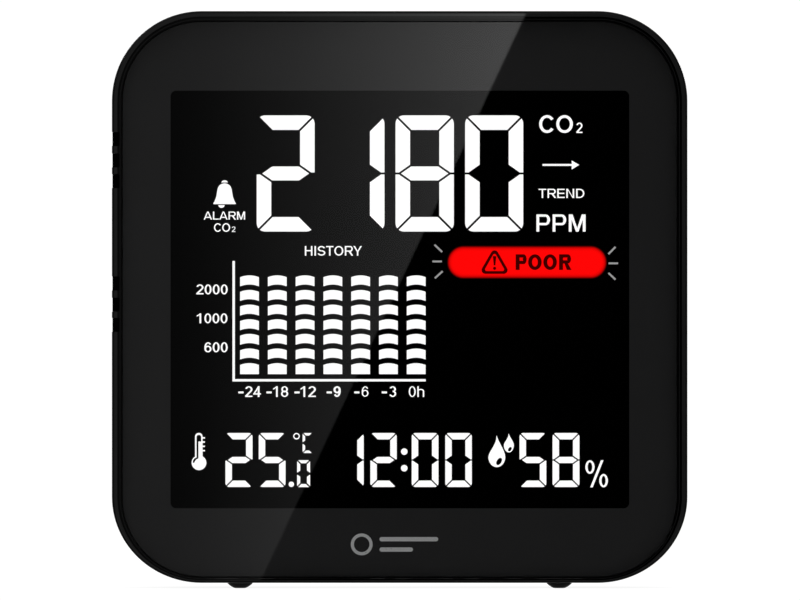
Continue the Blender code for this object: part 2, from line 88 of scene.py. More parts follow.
# ================================================================ node materials
class Nodes:
    """A short way to write a material's node tree."""

    def __init__(self, name):
        self.mat = bpy.data.materials.new(name)
        self.mat.use_nodes = True
        self.tree = self.mat.node_tree
        self.tree.nodes.clear()
        self.out = self.add("ShaderNodeOutputMaterial")

    def add(self, kind, _ops=None, **inputs):
        node = self.tree.nodes.new(kind)
        for key, value in (_ops or {}).items():
            setattr(node, key, value)
        for key, value in inputs.items():
            socket = node.inputs[int(key[1:])] if key[0] == "i" and key[1:].isdigit() else node.inputs[key.replace("_", " ")]
            self.put(socket, value)
        return node

    def put(self, socket, value):
        if isinstance(value, bpy.types.NodeSocket):
            self.tree.links.new(value, socket)
        elif isinstance(value, bpy.types.Node):
            self.tree.links.new(value.outputs[0], socket)
        else:
            socket.default_value = value

    def surface(self, shader):
        self.put(self.out.inputs["Surface"], shader)
        return self.mat

    def maths(self, operation, a, b=0.0, clamp=False):
        return self.add("ShaderNodeMath", {"operation": operation, "use_clamp": clamp}, i0=a, i1=b).outputs[0]

    def place(self):
        return self.add("ShaderNodeTexCoord").outputs["Object"]

    def noise(self, scale, detail=3.0, rough=0.55, vector=None, stretch=None):
        vector = vector or self.place()
        if stretch:
            vector = self.add("ShaderNodeMapping", i0=vector, Scale=stretch).outputs[0]
        return self.add("ShaderNodeTexNoise", Vector=vector, Scale=scale, Detail=detail, Roughness=rough).outputs["Fac"]

    def span(self, value, low, high, from_low=0.3, from_high=0.7):
        return self.add("ShaderNodeMapRange", i0=value, i1=from_low, i2=from_high, i3=low, i4=high).outputs[0]

    def mix(self, fac, a, b):
        node = self.add("ShaderNodeMix", {"data_type": "RGBA"})
        self.put(node.inputs[0], fac)
        self.put(node.inputs[6], a)
        self.put(node.inputs[7], b)
        return node.outputs[2]

    def bump(self, height, strength, distance_mm):
        return self.add("ShaderNodeBump", Height=height, Strength=strength, Distance=distance_mm * MM).outputs[0]


def rgba(c, k=1.0):
    return (c[0] * k, c[1] * k, c[2] * k, 1.0)


def moulded(name, colour, rough=0.45, grain=4200.0, depth=0.02, strength=0.35, vary=0.12, metallic=0.0, ior=1.47):
    """Injection-moulded plastic, and anything else whose surface is an even fine grain."""
    n = Nodes(name)
    fine = n.noise(grain, 4.0, 0.6)
    slow = n.noise(55.0, 3.0)
    colour_out = n.mix(n.span(slow, 0.0, 1.0), rgba(colour, 1 - vary), rgba(colour, 1 + vary))
    roughness = n.maths("ADD", n.span(fine, rough - 0.05, rough + 0.06), n.span(slow, -0.03, 0.03))
    bsdf = n.add("ShaderNodeBsdfPrincipled", Base_Color=colour_out, Roughness=roughness, Metallic=metallic, IOR=ior, Normal=n.bump(fine, strength, depth))
    return n.surface(bsdf)


def brushed(name, colour, rough=0.3, stretch=(6000.0, 300.0, 6000.0), vary=0.15):
    """Metal whose tool marks run one way."""
    n = Nodes(name)
    lines = n.noise(1.0, 4.0, 0.6, stretch=stretch)
    slow = n.noise(180.0, 2.0)
    colour_out = n.mix(n.span(slow, 0.0, 1.0), rgba(colour, 1 - vary), rgba(colour, 1 + vary))
    bsdf = n.add("ShaderNodeBsdfPrincipled", Base_Color=colour_out, Roughness=n.span(lines, rough - 0.08, rough + 0.12), Metallic=1.0, Normal=n.bump(lines, 0.2, 0.01))
    return n.surface(bsdf)


def woven(name, colour, pitch=0.35, rough=0.9, depth=0.1):
    """Felt, foam and other open or fibrous surfaces."""
    n = Nodes(name)
    cells = n.add("ShaderNodeTexVoronoi", Vector=n.place(), Scale=1000.0 / pitch).outputs["Distance"]
    fluff = n.noise(2500.0, 5.0, 0.7)
    colour_out = n.mix(n.span(cells, 0.0, 1.0, 0.0, 0.6), rgba(colour, 0.55), rgba(colour, 1.15))
    bsdf = n.add("ShaderNodeBsdfPrincipled", Base_Color=colour_out, Roughness=rough, Normal=n.bump(n.maths("ADD", cells, fluff), 0.7, depth))
    return n.surface(bsdf)


def board(name, colour):
    """Solder mask over copper: a lattice of tracks shows through the green."""
    n = Nodes(name)
    bricks = n.add("ShaderNodeTexBrick", {"offset": 0.37, "offset_frequency": 3, "squash": 0.6, "squash_frequency": 2}, Vector=n.add("ShaderNodeMapping", i0=n.place(), Rotation=(math.radians(90), 0, 0)).outputs[0], Color1=(1, 1, 1, 1), Color2=(0.6, 0.6, 0.6, 1), Mortar=(0, 0, 0, 1), Scale=260.0, Mortar_Size=0.08)
    track = n.span(bricks.outputs["Fac"], 0.0, 1.0, 0.0, 1.0)
    slow = n.noise(90.0, 2.0)
    base = n.mix(n.span(slow, 0.0, 1.0), rgba(colour, 0.85), rgba(colour, 1.15))
    colour_out = n.mix(track, base, rgba(colour, 1.9))
    bsdf = n.add("ShaderNodeBsdfPrincipled", Base_Color=colour_out, Roughness=n.span(slow, 0.28, 0.4), Normal=n.bump(track, 0.4, 0.03))
    return n.surface(bsdf)


def lens_clear():
    """The clear moulded front: rays pass straight through it, less what its faces reflect."""
    n = Nodes("lens_clear")
    facing = n.add("ShaderNodeLayerWeight", Blend=0.5).outputs["Facing"]
    share = n.maths("ADD", n.maths("MULTIPLY", n.maths("POWER", facing, 5.0), 0.9), LENS_GLOSS)
    # the back face is wetted by the ink and the display, so only the outer face mirrors
    outer = n.maths("SUBTRACT", 1.0, n.add("ShaderNodeNewGeometry").outputs["Backfacing"])
    share = n.maths("MULTIPLY", share, outer)
    haze = n.span(n.noise(30.0, 2.0), 0.0, 0.003)
    gloss = n.add("ShaderNodeBsdfGlossy", Color=(1, 1, 1, 1), Roughness=haze)
    clear = n.add("ShaderNodeBsdfTransparent", Color=(0.985, 0.985, 0.985, 1))
    return n.surface(n.add("ShaderNodeMixShader", i0=share, i1=clear, i2=gloss))


def polished(name, colour, rough, gloss, ior=1.02, grain=4800.0):
    """Moulded plastic whose front faces came polished from the tool: a clear gloss over the grain."""
    n = Nodes(name)
    fine = n.noise(grain, 4.0, 0.6)
    slow = n.noise(55.0, 3.0)
    colour_out = n.mix(n.span(slow, 0.0, 1.0), rgba(colour, 0.9), rgba(colour, 1.1))
    bsdf = n.add("ShaderNodeBsdfPrincipled", Base_Color=colour_out, Roughness=n.span(fine, rough - 0.04, rough + 0.04), IOR=ior, Normal=n.bump(fine, 0.3, 0.015), Coat_Weight=1.0, Coat_Roughness=n.span(slow, 0.01, 0.02), Coat_IOR=gloss)
    return n.surface(bsdf)


def border_ink():
    """The dark glossy ink on the back of the lens."""
    n = Nodes("border_ink")
    slow = n.noise(40.0, 2.0)
    colour_out = n.mix(n.span(slow, 0.0, 1.0), rgba(INK, 0.97), rgba(INK, 1.03))
    bsdf = n.add("ShaderNodeBsdfPrincipled", Base_Color=colour_out, Roughness=n.span(slow, 0.018, 0.026), IOR=1.42)
    return n.surface(bsdf)


def lit(name, colour, strength, uneven=0.03):
    """A lit area of the display, as even as its backlight."""
    n = Nodes(name)
    slow = n.noise(35.0, 2.0)
    power = n.span(slow, strength * (1 - uneven), strength * (1 + uneven))
    return n.surface(n.add("ShaderNodeEmission", Color=rgba(colour), Strength=power))


CASE = (0.0050, 0.0050, 0.0052)
INK = (0.0555, 0.0555, 0.0562)
LENS_GLOSS = 0.0387

MATS = {
    "case_plastic": moulded("case_plastic_grain", CASE, 0.44, grain=4800.0, depth=0.018, strength=0.3, ior=1.47),
    "key_plastic": moulded("key_plastic_grain", (0.017, 0.017, 0.0175), 0.5, grain=5200.0, depth=0.015, strength=0.3),
    "lens_acrylic": lens_clear(),
    "adhesive_tape": woven("tape_foam", (0.02, 0.02, 0.02), 0.25, 0.9, 0.05),
    "polariser_film": moulded("polariser_black", (0.0004, 0.0004, 0.00042), 0.55, grain=3000.0, depth=0.002, strength=0.05, ior=1.02),
    "display_glass": moulded("display_glass_smoked", (0.05, 0.055, 0.06), 0.08, grain=300.0, depth=0.002, strength=0.05),
    "white_film": moulded("white_film_satin", (0.82, 0.83, 0.83), 0.6, grain=2500.0, depth=0.01, vary=0.03),
    "light_guide_acrylic": moulded("light_guide_frosted", (0.72, 0.76, 0.78), 0.2, grain=2200.0, depth=0.02, vary=0.03),
    "white_plastic": moulded("white_plastic_satin", (0.72, 0.72, 0.70), 0.45, grain=2600.0, depth=0.01, vary=0.04),
    "silicone_rubber": moulded("silicone_matt", (0.30, 0.31, 0.33), 0.8, grain=1800.0, depth=0.02),
    "circuit_board": board("circuit_board_green", (0.010, 0.105, 0.042)),
    "chip_epoxy": moulded("chip_epoxy_matt", (0.018, 0.018, 0.02), 0.6, grain=3600.0, depth=0.03),
    "gold_plated_chamber": brushed("gold_plate", (0.72, 0.5, 0.2), 0.28),
    "white_membrane": woven("membrane_felt", (0.72, 0.72, 0.70), 0.2),
    "plated_steel": brushed("nickel_plate", (0.56, 0.56, 0.57), 0.26),
    "black_screw_steel": brushed("black_oxide_steel", (0.055, 0.055, 0.06), 0.4),
    "aluminium_pouch": brushed("pouch_foil", (0.5, 0.52, 0.54), 0.42, stretch=(900.0, 900.0, 900.0)),
    "cream_connector": moulded("cream_nylon", (0.68, 0.62, 0.49), 0.5, grain=2400.0, depth=0.01),
    "red_wire": moulded("red_insulation", (0.42, 0.015, 0.015), 0.45, grain=1500.0, depth=0.01),
    "black_wire": moulded("black_insulation", (0.013, 0.013, 0.013), 0.45, grain=1500.0, depth=0.01),
    "ribbon_film": brushed("ribbon_tracks", (0.6, 0.61, 0.62), 0.45, stretch=(2500.0, 20.0, 20.0)),
    "black_rubber": moulded("foot_rubber", (0.0055, 0.0055, 0.0056), 0.75, grain=2600.0, depth=0.03, strength=0.5),
    "filter_foam": woven("filter_foam_cells", (0.03, 0.03, 0.03), 0.45),
    "plain_label": moulded("label_film", (0.24, 0.245, 0.25), 0.42, grain=3200.0, depth=0.006, vary=0.03),
}
INK_MAT = border_ink()
# the lip and the step are the case's own black plastic: the lip is coloured several times lighter as a painted
# highlight round the front rim, and the step is coloured darker as painted shade in the groove beside the lens
LIP_HIGHLIGHT_MAT = polished("case_lip_painted_highlight", (0.038, 0.038, 0.0385), 0.5, 1.66)
STEP_SHADE_MAT = polished("case_step_painted_shade", (0.0006, 0.0006, 0.0006), 0.5, 1.53)
SEGMENT_WHITE = lit("segments_lit_white", (1.0, 1.0, 1.0), 1.10, 0.01)
ALERT_DARK = lit("alert_dark_red", (0.052, 0.0, 0.0), 1.0)
RAY_GREY = lit("alert_rays_grey", (0.33, 0.33, 0.33), 1.0)
MARK_GREY = moulded("mark_silver_ink", (0.86, 0.87, 0.87), 0.32, grain=2500.0, depth=0.004, vary=0.03, metallic=0.6)
KEY_MARK = moulded("key_mark_ink", (0.30, 0.30, 0.30), 0.5, grain=2500.0, depth=0.004, vary=0.05)
UNLIT = moulded("unlit_black", (0.0004, 0.0004, 0.0004), 0.6, grain=2500.0, depth=0.002, strength=0.05, ior=1.02)

slot_of = {p["node"]: p["material_slot"] for p in frame["record"]["subparts"]}
for node_name, obj in frame["nodes"].items():
    while len(obj.material_slots) < 1:
        obj.data.materials.append(None)
    for s in obj.material_slots:
        s.material = MATS[slot_of[node_name]]


# ================================================================ mesh helpers
def add_loft(bm, rings, loop=False):
    made = [[bm.verts.new(p) for p in ring] for ring in rings]
    n = len(made[0])
    pairs = list(zip(made, made[1:]))
    if loop:
        pairs.append((made[-1], made[0]))
    for a, b in pairs:
        for i in range(n):
            j = (i + 1) % n
            bm.faces.new((a[i], a[j], b[j], b[i]))
    if not loop:
        bm.faces.new(list(reversed(made[0])))
        bm.faces.new(made[-1])


def new_object(name, bm, mat=None, sharp=32.0):
    bmesh.ops.recalc_face_normals(bm, faces=bm.faces)
    mesh = bpy.data.meshes.new(name)
    bm.to_mesh(mesh)
    bm.free()
    if mat:
        mesh.materials.append(mat)
    mesh.shade_smooth()
    mesh.set_sharp_from_angle(angle=math.radians(sharp))
    obj = bpy.data.objects.new(name, mesh)
    SCENE.collection.objects.link(obj)
    return obj


def boolean(obj, kind, bm):
    """Cuts from obj, or joins to it, the closed bodies in bm, and keeps only the result."""
    tool = new_object("tool", bm)
    mod = obj.modifiers.new("b", "BOOLEAN")
    mod.operation, mod.solver, mod.object = kind, "EXACT", tool
    dg = bpy.context.evaluated_depsgraph_get()
    result = bpy.data.meshes.new_from_object(obj.evaluated_get(dg))
    obj.modifiers.clear()
    old, obj.data = obj.data, result
    bpy.data.meshes.remove(old)
    gone = tool.data
    bpy.data.objects.remove(tool, do_unlink=True)
    bpy.data.meshes.remove(gone)
    obj.data.shade_smooth()
    obj.data.set_sharp_from_angle(angle=math.radians(32))


def even_normals(obj):
    mod = obj.modifiers.new("even_normals", "WEIGHTED_NORMAL")
    mod.keep_sharp = True
    mod.weight = 80


def piece(obj, body, replaces=None):
    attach(obj, body)
    if replaces:
        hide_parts(*replaces)
    return obj


def corner_arc(cx, cz, rx, rz, start, steps):
    for k in range(steps + 1):
        a = math.radians(start + 90.0 * k / steps)
        yield (cx + rx * math.cos(a), cz + rz * math.sin(a))


def rounded(x0, x1, z0, z1, r, steps=STEPS):
    return [
        *corner_arc(x1 - r, z0 + r, r, r, -90, steps),
        *corner_arc(x1 - r, z1 - r, r, r, 0, steps),
        *corner_arc(x0 + r, z1 - r, r, r, 90, steps),
        *corner_arc(x0 + r, z0 + r, r, r, 180, steps),
    ]


R_TOP, R_BOT_X, R_BOT_Z = 15.6, 15.6, 14.94


def housing(d, low=None, steps=STEPS):
    low = d if low is None else low
    cx, top, bot = HALF_W - R_TOP, Z_TOP - R_TOP, Z_BASE + R_BOT_Z
    return [
        *corner_arc(cx, bot, R_BOT_X - d, R_BOT_Z - low, -90, steps),
        *corner_arc(cx, top, R_TOP - d, R_TOP - d, 0, steps),
        *corner_arc(-cx, top, R_TOP - d, R_TOP - d, 90, steps),
        *corner_arc(-cx, bot, R_BOT_X - d, R_BOT_Z - low, 180, steps),
    ]


def ring(outline, t):
    return [at(x, t, z) for x, z in outline]


def circle(x, z, r, n=36):
    return [(x + r * math.cos(2 * math.pi * k / n), z + r * math.sin(2 * math.pi * k / n)) for k in range(n)]


def add_turned(bm, x, z, profile, n=36):
    add_loft(bm, [ring(circle(x, z, max(r, 1e-3), n), t) for r, t in profile])


def add_box(bm, x0, x1, t0, t1, z0, z1):
    add_loft(bm, [ring([(x1, z0), (x1, z1), (x0, z1), (x0, z0)], t) for t in (t1, t0)])


def stadium(x, z, w, h, grow=0.0, steps=12):
    w, h = w + 2 * grow, h + 2 * grow
    return rounded(x - w / 2, x + w / 2, z - h / 2, z + h / 2, min(w, h) / 2 - 1e-3, steps)


def vertical_hole(bm, x, t, r, z0, z1, n=28):
    add_loft(bm, [[at(x + r * math.cos(2 * math.pi * k / n), t + r * math.sin(2 * math.pi * k / n), z) for k in range(n)] for z in (z0, z1)])


# ================================================================ where the CAD put things
def centre_mm(name):
    lo, hi = box_mm(name)
    return [(a + b) / 2 for a, b in zip(lo, hi)]


CASE_SCREWS = [(centre_mm(f"case_screw_{k}")[0], centre_mm(f"case_screw_{k}")[2]) for k in range(1, 5)]
BOARD_SCREWS = [(centre_mm(f"board_screw_{k}")[0], centre_mm(f"board_screw_{k}")[2]) for k in range(1, 5)]
FEET = [(centre_mm(f"foot_{k}")[0], centre_mm(f"foot_{k}")[1] - Y_FRONT) for k in range(1, 5)]
KEYS = [(n, centre_mm(n)[0], centre_mm(n)[2]) for n in ("key_mode", "key_up", "key_down", "key_light")]
KEY_SIZE = (10.0, 5.0)
KEY_TOP = box_mm("key_mode")[1][1] - Y_FRONT
USB_Z = centre_mm("usb_socket")[2]
LABEL_LO, LABEL_HI = box_mm("rating_label")
BUZZER = (centre_mm("buzzer")[0], centre_mm("buzzer")[2])
TRAY_LO, TRAY_HI = box_mm("lcd_tray")
VENTS = [78.1, 74.4, 70.8, 53.0, 49.3, 45.8]
VENT_HEIGHT = 2.45
WALL = 2.0
R_BACK = 4.2
SEAT_T = (2.6, 4.4)
STEP_T = 0.16                               # depth of the step between the lip and the lens, coloured near black as painted shade

# ================================================================ front bezel
bm = bmesh.new()
opening = rounded(TRAY_LO[0] - 0.4, TRAY_HI[0] + 0.4, TRAY_LO[2] - 0.4, TRAY_HI[2] + 0.4, 2.0)
profile = [ring(housing(0.25), PART_LINE), ring(housing(0.07), PART_LINE - 0.08), ring(housing(0.0), PART_LINE - 0.25)]
profile += [                                # a bevel round the front edge, a flat lip coloured as a painted highlight, a step coloured near black as painted shade, then the gap beside the lens
    ring(housing(0.0), 0.40),
    ring(housing(0.010, 0.008), 0.355),
    ring(housing(0.035, 0.030), 0.32),
    ring(housing(0.36, 0.325), 0.025),
    ring(housing(0.385, 0.35), 0.008),
    ring(housing(0.415, 0.375), 0.0),
    ring(housing(0.93, 0.43), 0.0),
    ring(housing(0.95, 0.445), 0.012),
    ring(housing(0.965, 0.455), 0.05),
    ring(housing(0.970, 0.46), STEP_T - 0.02),
    ring(housing(0.985, 0.47), STEP_T),
    ring(housing(1.37, 0.71), STEP_T),
    ring(housing(1.41, 0.735), STEP_T - 0.026),
    ring(housing(1.45, 0.76), STEP_T),
    ring(housing(1.70, 0.95), STEP_T),
    ring(housing(1.72, 0.965), STEP_T + 0.02),
    ring(housing(1.73, 0.975), 0.40),
    ring(housing(1.74, 0.98), 1.90),
    ring(housing(1.80, 1.03), 2.50),
    ring(housing(1.80, 1.03), SEAT_T[0]),
    ring(opening, SEAT_T[0]),
    ring(opening, SEAT_T[1]),
    ring(housing(WALL), SEAT_T[1]),
    ring(housing(WALL), 11.3),
    ring(housing(1.1), 11.3),
    ring(housing(1.1), PART_LINE),
]
add_loft(bm, profile, loop=True)
bezel = new_object("bezel_shell", bm, MATS["case_plastic"])

bm = bmesh.new()
for x, z in CASE_SCREWS:
    add_turned(bm, x, z, [(2.8, 3.6), (2.8, 15.9)], 32)
for x, z in BOARD_SCREWS:
    add_turned(bm, x, z, [(2.5, 3.6), (2.5, 9.7)], 32)
boolean(bezel, "UNION", bm)
bm = bmesh.new()
for x, z in CASE_SCREWS:
    add_turned(bm, x, z, [(1.5, 7.5), (1.5, 16.5)], 24)
for x, z in BOARD_SCREWS:
    add_turned(bm, x, z, [(1.2, 5.5), (1.2, 10.5)], 24)
for z in VENTS:
    h = VENT_HEIGHT / 2
    # the far end slopes away inwards, so it throws no light forwards
    side = [(-1.0, -1), (6.72, -1), (9.18, 1.8), (9.18, 4.0), (4.9, 4.0), (4.9, 1.36), (-1.0, 1.36)]
    add_loft(bm, [[at(-HALF_W + d, t, z + s * h) for t, d in side] for s in (-1, 1)])
for x, t in FEET[:2]:
    vertical_hole(bm, x, t, 1.55, 0.0, 3.6)
boolean(bezel, "DIFFERENCE", bm)
# the lip is polished and coloured lighter than the case plastic, a painted highlight; the step inside it, down to where
# the gap begins, is polished too and coloured near black, painted shade
bezel.data.materials.append(LIP_HIGHLIGHT_MAT)
bezel.data.materials.append(STEP_SHADE_MAT)
for face in bezel.data.polygons:
    ts = [bezel.data.vertices[i].co.y / MM - Y_FRONT for i in face.vertices]
    if max(ts) < 0.026:
        face.material_index = 1
    elif max(ts) < 0.42 and min(ts) > STEP_T - 0.035:
        face.material_index = 1 if min(ts) < STEP_T - 0.021 else 2        # the fine ridge along the step is lip-coloured, a painted highlight line in the groove
    if face.material_index and abs(face.normal.y) > 0.9999:
        face.use_smooth = False             # dead flat, with no shading borrowed from the curves beside it
even_normals(bezel)
piece(bezel, ROOT, ["front_bezel"])

# ================================================================ lens, printed border
LENS_Z = (LENS_LO[2], LENS_HI[2])
LENS_R = 13.8
bm = bmesh.new()
rings = [ring(rounded(-LENS_HALF, LENS_HALF, *LENS_Z, LENS_R), LENS_T[1])]
for d, t in ((0.0, 0.11), (0.01, 0.09), (0.09, 0.01), (0.10, 0.0)):      # a fine bevel round the front edge
    rings.append(ring(rounded(-LENS_HALF + d, LENS_HALF - d, LENS_Z[0] + d, LENS_Z[1] - d, LENS_R - d), LENS_T[0] + t))
add_loft(bm, rings)
lens = new_object("lens_cover", bm, MATS["lens_acrylic"])
even_normals(lens)
piece(lens, ROOT, ["front_lens"])

WIN_X, WIN_Z = (-39.83, 39.91), (LENS_CZ - 36.335, LENS_CZ + 36.265)     # the clear window in the border
bm = bmesh.new()
outer = rounded(-LENS_HALF + 0.06, LENS_HALF - 0.06, LENS_Z[0] + 0.06, LENS_Z[1] - 0.06, LENS_R - 0.06)
inner = rounded(*WIN_X, *WIN_Z, 1.0)
add_loft(bm, [ring(outer, 1.82), ring(outer, 1.76), ring(inner, 1.76), ring(inner, 1.82)], loop=True)
border = new_object("lens_border_print", bm, INK_MAT)
piece(border, ROOT)

# ================================================================ display artwork
HALO = 0.05                                 # how far inside its outline each lit shape stops, since its glow widens it
ART_T = (1.86, 1.94)                        # depth of the lit shapes, just in front of the polariser


def art(x, z):
    """A point of the artwork, counted from the middle of the lens."""
    return (LENS_CX + x, LENS_CZ + z)


def add_prism(bm, points, t0=ART_T[0], t1=ART_T[1]):
    outline = [art(*p) for p in points]
    area = sum(a[0] * b[1] - b[0] * a[1] for a, b in zip(outline, outline[1:] + outline[:1]))
    if area < 0:
        outline.reverse()
    add_loft(bm, [ring(outline, t1), ring(outline, t0)])


def add_frame(bm, outer, inner, t0=ART_T[0], t1=ART_T[1]):
    outer, inner = [art(*p) for p in outer], [art(*p) for p in inner]
    add_loft(bm, [ring(outer, t1), ring(outer, t0), ring(inner, t0), ring(inner, t1)], loop=True)


def clip(points, nx, nz, c):
    """The part of a convex outline where nx*x + nz*z <= c."""
    out = []
    for p, q in zip(points, points[1:] + points[:1]):
        a, b = nx * p[0] + nz * p[1] - c, nx * q[0] + nz * q[1] - c
        if a <= 0:
            out.append(p)
        if (a < 0 < b) or (b < 0 < a):
            s = a / (a - b)
            out.append((p[0] + (q[0] - p[0]) * s, p[1] + (q[1] - p[1]) * s))
    return out


def arc(cx, cz, rx, rz, a0, a1, steps=20):
    n = max(3, round(abs(a1 - a0) / 360 * 2 * steps))
    return [(cx + rx * math.cos(math.radians(a0 + (a1 - a0) * k / n)), cz + rz * math.sin(math.radians(a0 + (a1 - a0) * k / n))) for k in range(n + 1)]


SEGMENTS = {
    "0": "abcdef", "1": "bc", "2": "abged", "3": "abgcd", "4": "fgbc", "5": "afgcd",
    "6": "afgecd", "7": "abc", "8": "abcdefg", "9": "abcdfg", "C": "adef",
}
HALF_SQRT = math.sqrt(0.5)


def seven(bm, char, x0, x1, z0, z1, thick, radius, gap, inset=HALO):
    """One seven-segment character: a round-cornered frame and its middle bar, parted by mitred gaps."""
    x0, x1, z0, z1 = x0 + inset, x1 - inset, z0 + inset, z1 - inset
    thick, gap = thick - HALO - inset, gap + 2 * HALO
    body = rounded(x0, x1, z0, z1, radius, 8)
    zm, g, half = (z0 + z1) / 2, gap / 2, thick * 0.48
    tip, lean = thick * 0.38, 0.70          # where the middle bar's points lie, and the slope of its ends
    norm = math.hypot(1.0, lean)
    for s in SEGMENTS[char]:
        p = body
        if s in "ad":
            up = 1 if s == "a" else -1
            edge = z1 if s == "a" else z0
            p = clip(p, 0, -up, -up * edge + thick)
            # keep z further out than the two mitre lines from the corners
            p = clip(p, -HALF_SQRT, -up * HALF_SQRT, -HALF_SQRT * (x0 + up * edge) - g)
            p = clip(p, HALF_SQRT, -up * HALF_SQRT, HALF_SQRT * (x1 - up * edge) - g)
        elif s == "g":
            p = [(x0 + tip, zm), (x0 + tip + half / lean, zm - half), (x1 - tip - half / lean, zm - half), (x1 - tip, zm), (x1 - tip - half / lean, zm + half), (x0 + tip + half / lean, zm + half)]
        else:
            right, up = s in "bc", s in "bf"
            sx, sz = (1 if right else -1), (1 if up else -1)
            ex, ez = (x1 if right else x0), (z1 if up else z0)
            p = clip(p, -sx, 0, -sx * ex + thick)
            p = clip(p, 0, -sz, -sz * zm - g)
            # stay below the mitre at the outer corner, and above the slope of the middle bar
            p = clip(p, -sx * HALF_SQRT, sz * HALF_SQRT, HALF_SQRT * (-sx * ex + sz * ez) - g)
            p = clip(p, -sx * lean / norm, -sz / norm, (-sx * lean * (ex - sx * tip) - sz * zm) / norm - gap)
        add_prism(bm, p)


white = bmesh.new()

# the four large digits
for char, x0, x1 in (("2", -24.96, -14.67), ("1", -12.88, -2.53), ("8", -0.83, 9.53), ("0", 11.27, 21.59)):
    seven(white, char, x0, x1, 11.66, 32.08, 2.69, 1.45, 0.25, 0.11)

# temperature, clock and humidity
for char, x0, x1 in (
    ("2", -30.38, -25.48), ("5", -24.59, -19.74), ("1", -11.05, -6.15), ("2", -5.19, -0.41),
    ("0", 2.0, 6.84), ("0", 7.83, 12.64), ("5", 20.74, 25.59), ("8", 26.48, 31.35),
):
    seven(white, char, x0, x1, -32.73, -23.14, 1.27, 0.66, 0.13, 0.10)
seven(white, "0", -17.89, -15.50, -32.72, -27.90, 0.66, 0.22, 0.15, 0.07)
seven(white, "C", -16.92, -15.10, -26.77, -23.20, 0.54, 0.12, 0.10)
for x, z, r in ((-18.83, -32.16, 0.47), (0.80, -26.48, 0.57), (0.80, -29.36, 0.57)):
    add_prism(white, circle(x, z, r, 28))
add_frame(white, arc(-17.93, -23.80, 0.57, 0.57, 0, 351, 20), arc(-17.93, -23.80, 0.375, 0.365, 0, 351, 20))

# axes of the chart, and its columns of arched bars
add_prism(white, [(-29.06, -14.28), (-28.64, -14.28), (-28.64, 6.66), (-29.06, 6.66)])
add_prism(white, [(-28.64, -14.28), (4.53, -14.28), (4.53, -13.87), (-28.64, -13.87)])
for column in range(7):
    x0 = -27.73 + 4.829 * column
    for row in range(7):
        top = 4.155 - 2.543 * row
        w, h, sag, n = 3.262, 1.90, 0.31, 10
        upper = [(x0 + w * k / n, top - sag * (2 * k / n - 1) ** 2) for k in range(n + 1)]
        if row == 6:
            lower = [(x0 + w, -13.01), (x0, -13.01)]
        else:
            lower = [(x0 + w * (1 - k / n), top - h + sag - sag * (2 * k / n - 1) ** 2) for k in range(n + 1)]
        add_prism(white, lower + upper)

# arrow of the trend
add_prism(white, [(24.84, 23.19), (29.90, 23.19), (29.90, 22.56), (31.22, 23.35), (29.90, 24.14), (29.90, 23.52), (24.84, 23.52)])

# bell
bell_half = [(0.0, 20.19), (0.42, 20.12), (0.80, 19.92), (1.06, 19.62), (1.22, 19.2), (1.32, 18.6), (1.44, 17.9), (1.62, 17.35), (1.81, 16.93), (1.95, 16.75), (1.96, 16.64), (1.90, 16.57)]
add_prism(white, [(-30.43 + x, z - 0.03) for x, z in bell_half] + [(-30.43 - x, z - 0.03) for x, z in reversed(bell_half[1:])])
add_prism(white, [(-30.43 + 0.55 * math.cos(math.radians(a)), 20.30 + 0.39 * math.sin(math.radians(a))) for a in range(0, 181, 12)])
add_prism(white, [(-30.97 + 0.54 * math.cos(math.radians(a)), 16.38 + 0.49 * math.sin(math.radians(a))) for a in range(180, 361, 12)])

# thermometer: a bulb and a tube, and four ticks
BULB, TUBE_X, TUBE_TOP = (-34.88, -28.42), -34.91, -23.22
add_prism(white, arc(*BULB, 1.28, 1.28, 60, -240, 24) + [(TUBE_X - 0.66, -27.3), (TUBE_X + 0.66, -27.3)])
add_prism(white, [(TUBE_X - 0.66, -27.3), (TUBE_X + 0.66, -27.3), *arc(TUBE_X, TUBE_TOP - 0.66, 0.66, 0.66, 0, 180)])
for z in (-24.09, -24.81, -25.56, -26.31):
    add_prism(white, [(TUBE_X + 0.66, z - 0.13), (-33.85, z - 0.13), (-33.85, z + 0.13), (TUBE_X + 0.66, z + 0.13)])


def drop(x, tip_x, z_wide, z0, z1, half):
    """A water drop that leans a little: a point at z1, its widest at z_wide, and a round foot at z0."""
    outer = [(0.10, 0.114), (0.215, 0.227), (0.36, 0.34), (0.505, 0.455), (0.68, 0.59), (0.835, 0.727), (0.955, 0.864)]
    inner = [(0.04, 0.114), (0.085, 0.227), (0.185, 0.34), (0.335, 0.455), (0.52, 0.59), (0.74, 0.727), (0.915, 0.864)]
    right = [(x + (tip_x - x) * (1 - d) + half * w, z1 + (z_wide - z1) * d) for w, d in outer]
    left = [(x + (tip_x - x) * (1 - d) - half * w, z1 + (z_wide - z1) * d) for w, d in inner]
    return [(tip_x, z1), *right, *arc(x, z_wide, half, z_wide - z0, 0, -180, 20), *reversed(left)]


add_prism(white, drop(16.89, 16.86, -27.42, -29.18, -23.66, 1.47))
add_prism(white, drop(18.98, 18.94, -25.33, -26.62, -23.33, 0.87))

segments = new_object("display_segments", white, SEGMENT_WHITE)
piece(segments, ROOT)

# dark details that lie over the lit shapes
dark = bmesh.new()
OVER = (1.835, 1.85)


def tilted(x, z, a, b, degrees, n=20):
    c, s = math.cos(math.radians(degrees)), math.sin(math.radians(degrees))
    return [(x + a * math.cos(2 * math.pi * k / n) * c - b * math.sin(2 * math.pi * k / n) * s, z + a * math.cos(2 * math.pi * k / n) * s + b * math.sin(2 * math.pi * k / n) * c) for k in range(n)]


add_prism(dark, tilted(17.29, -28.19, 0.70, 0.41, 58), *OVER)
add_prism(dark, tilted(19.16, -26.06, 0.42, 0.27, 58), *OVER)
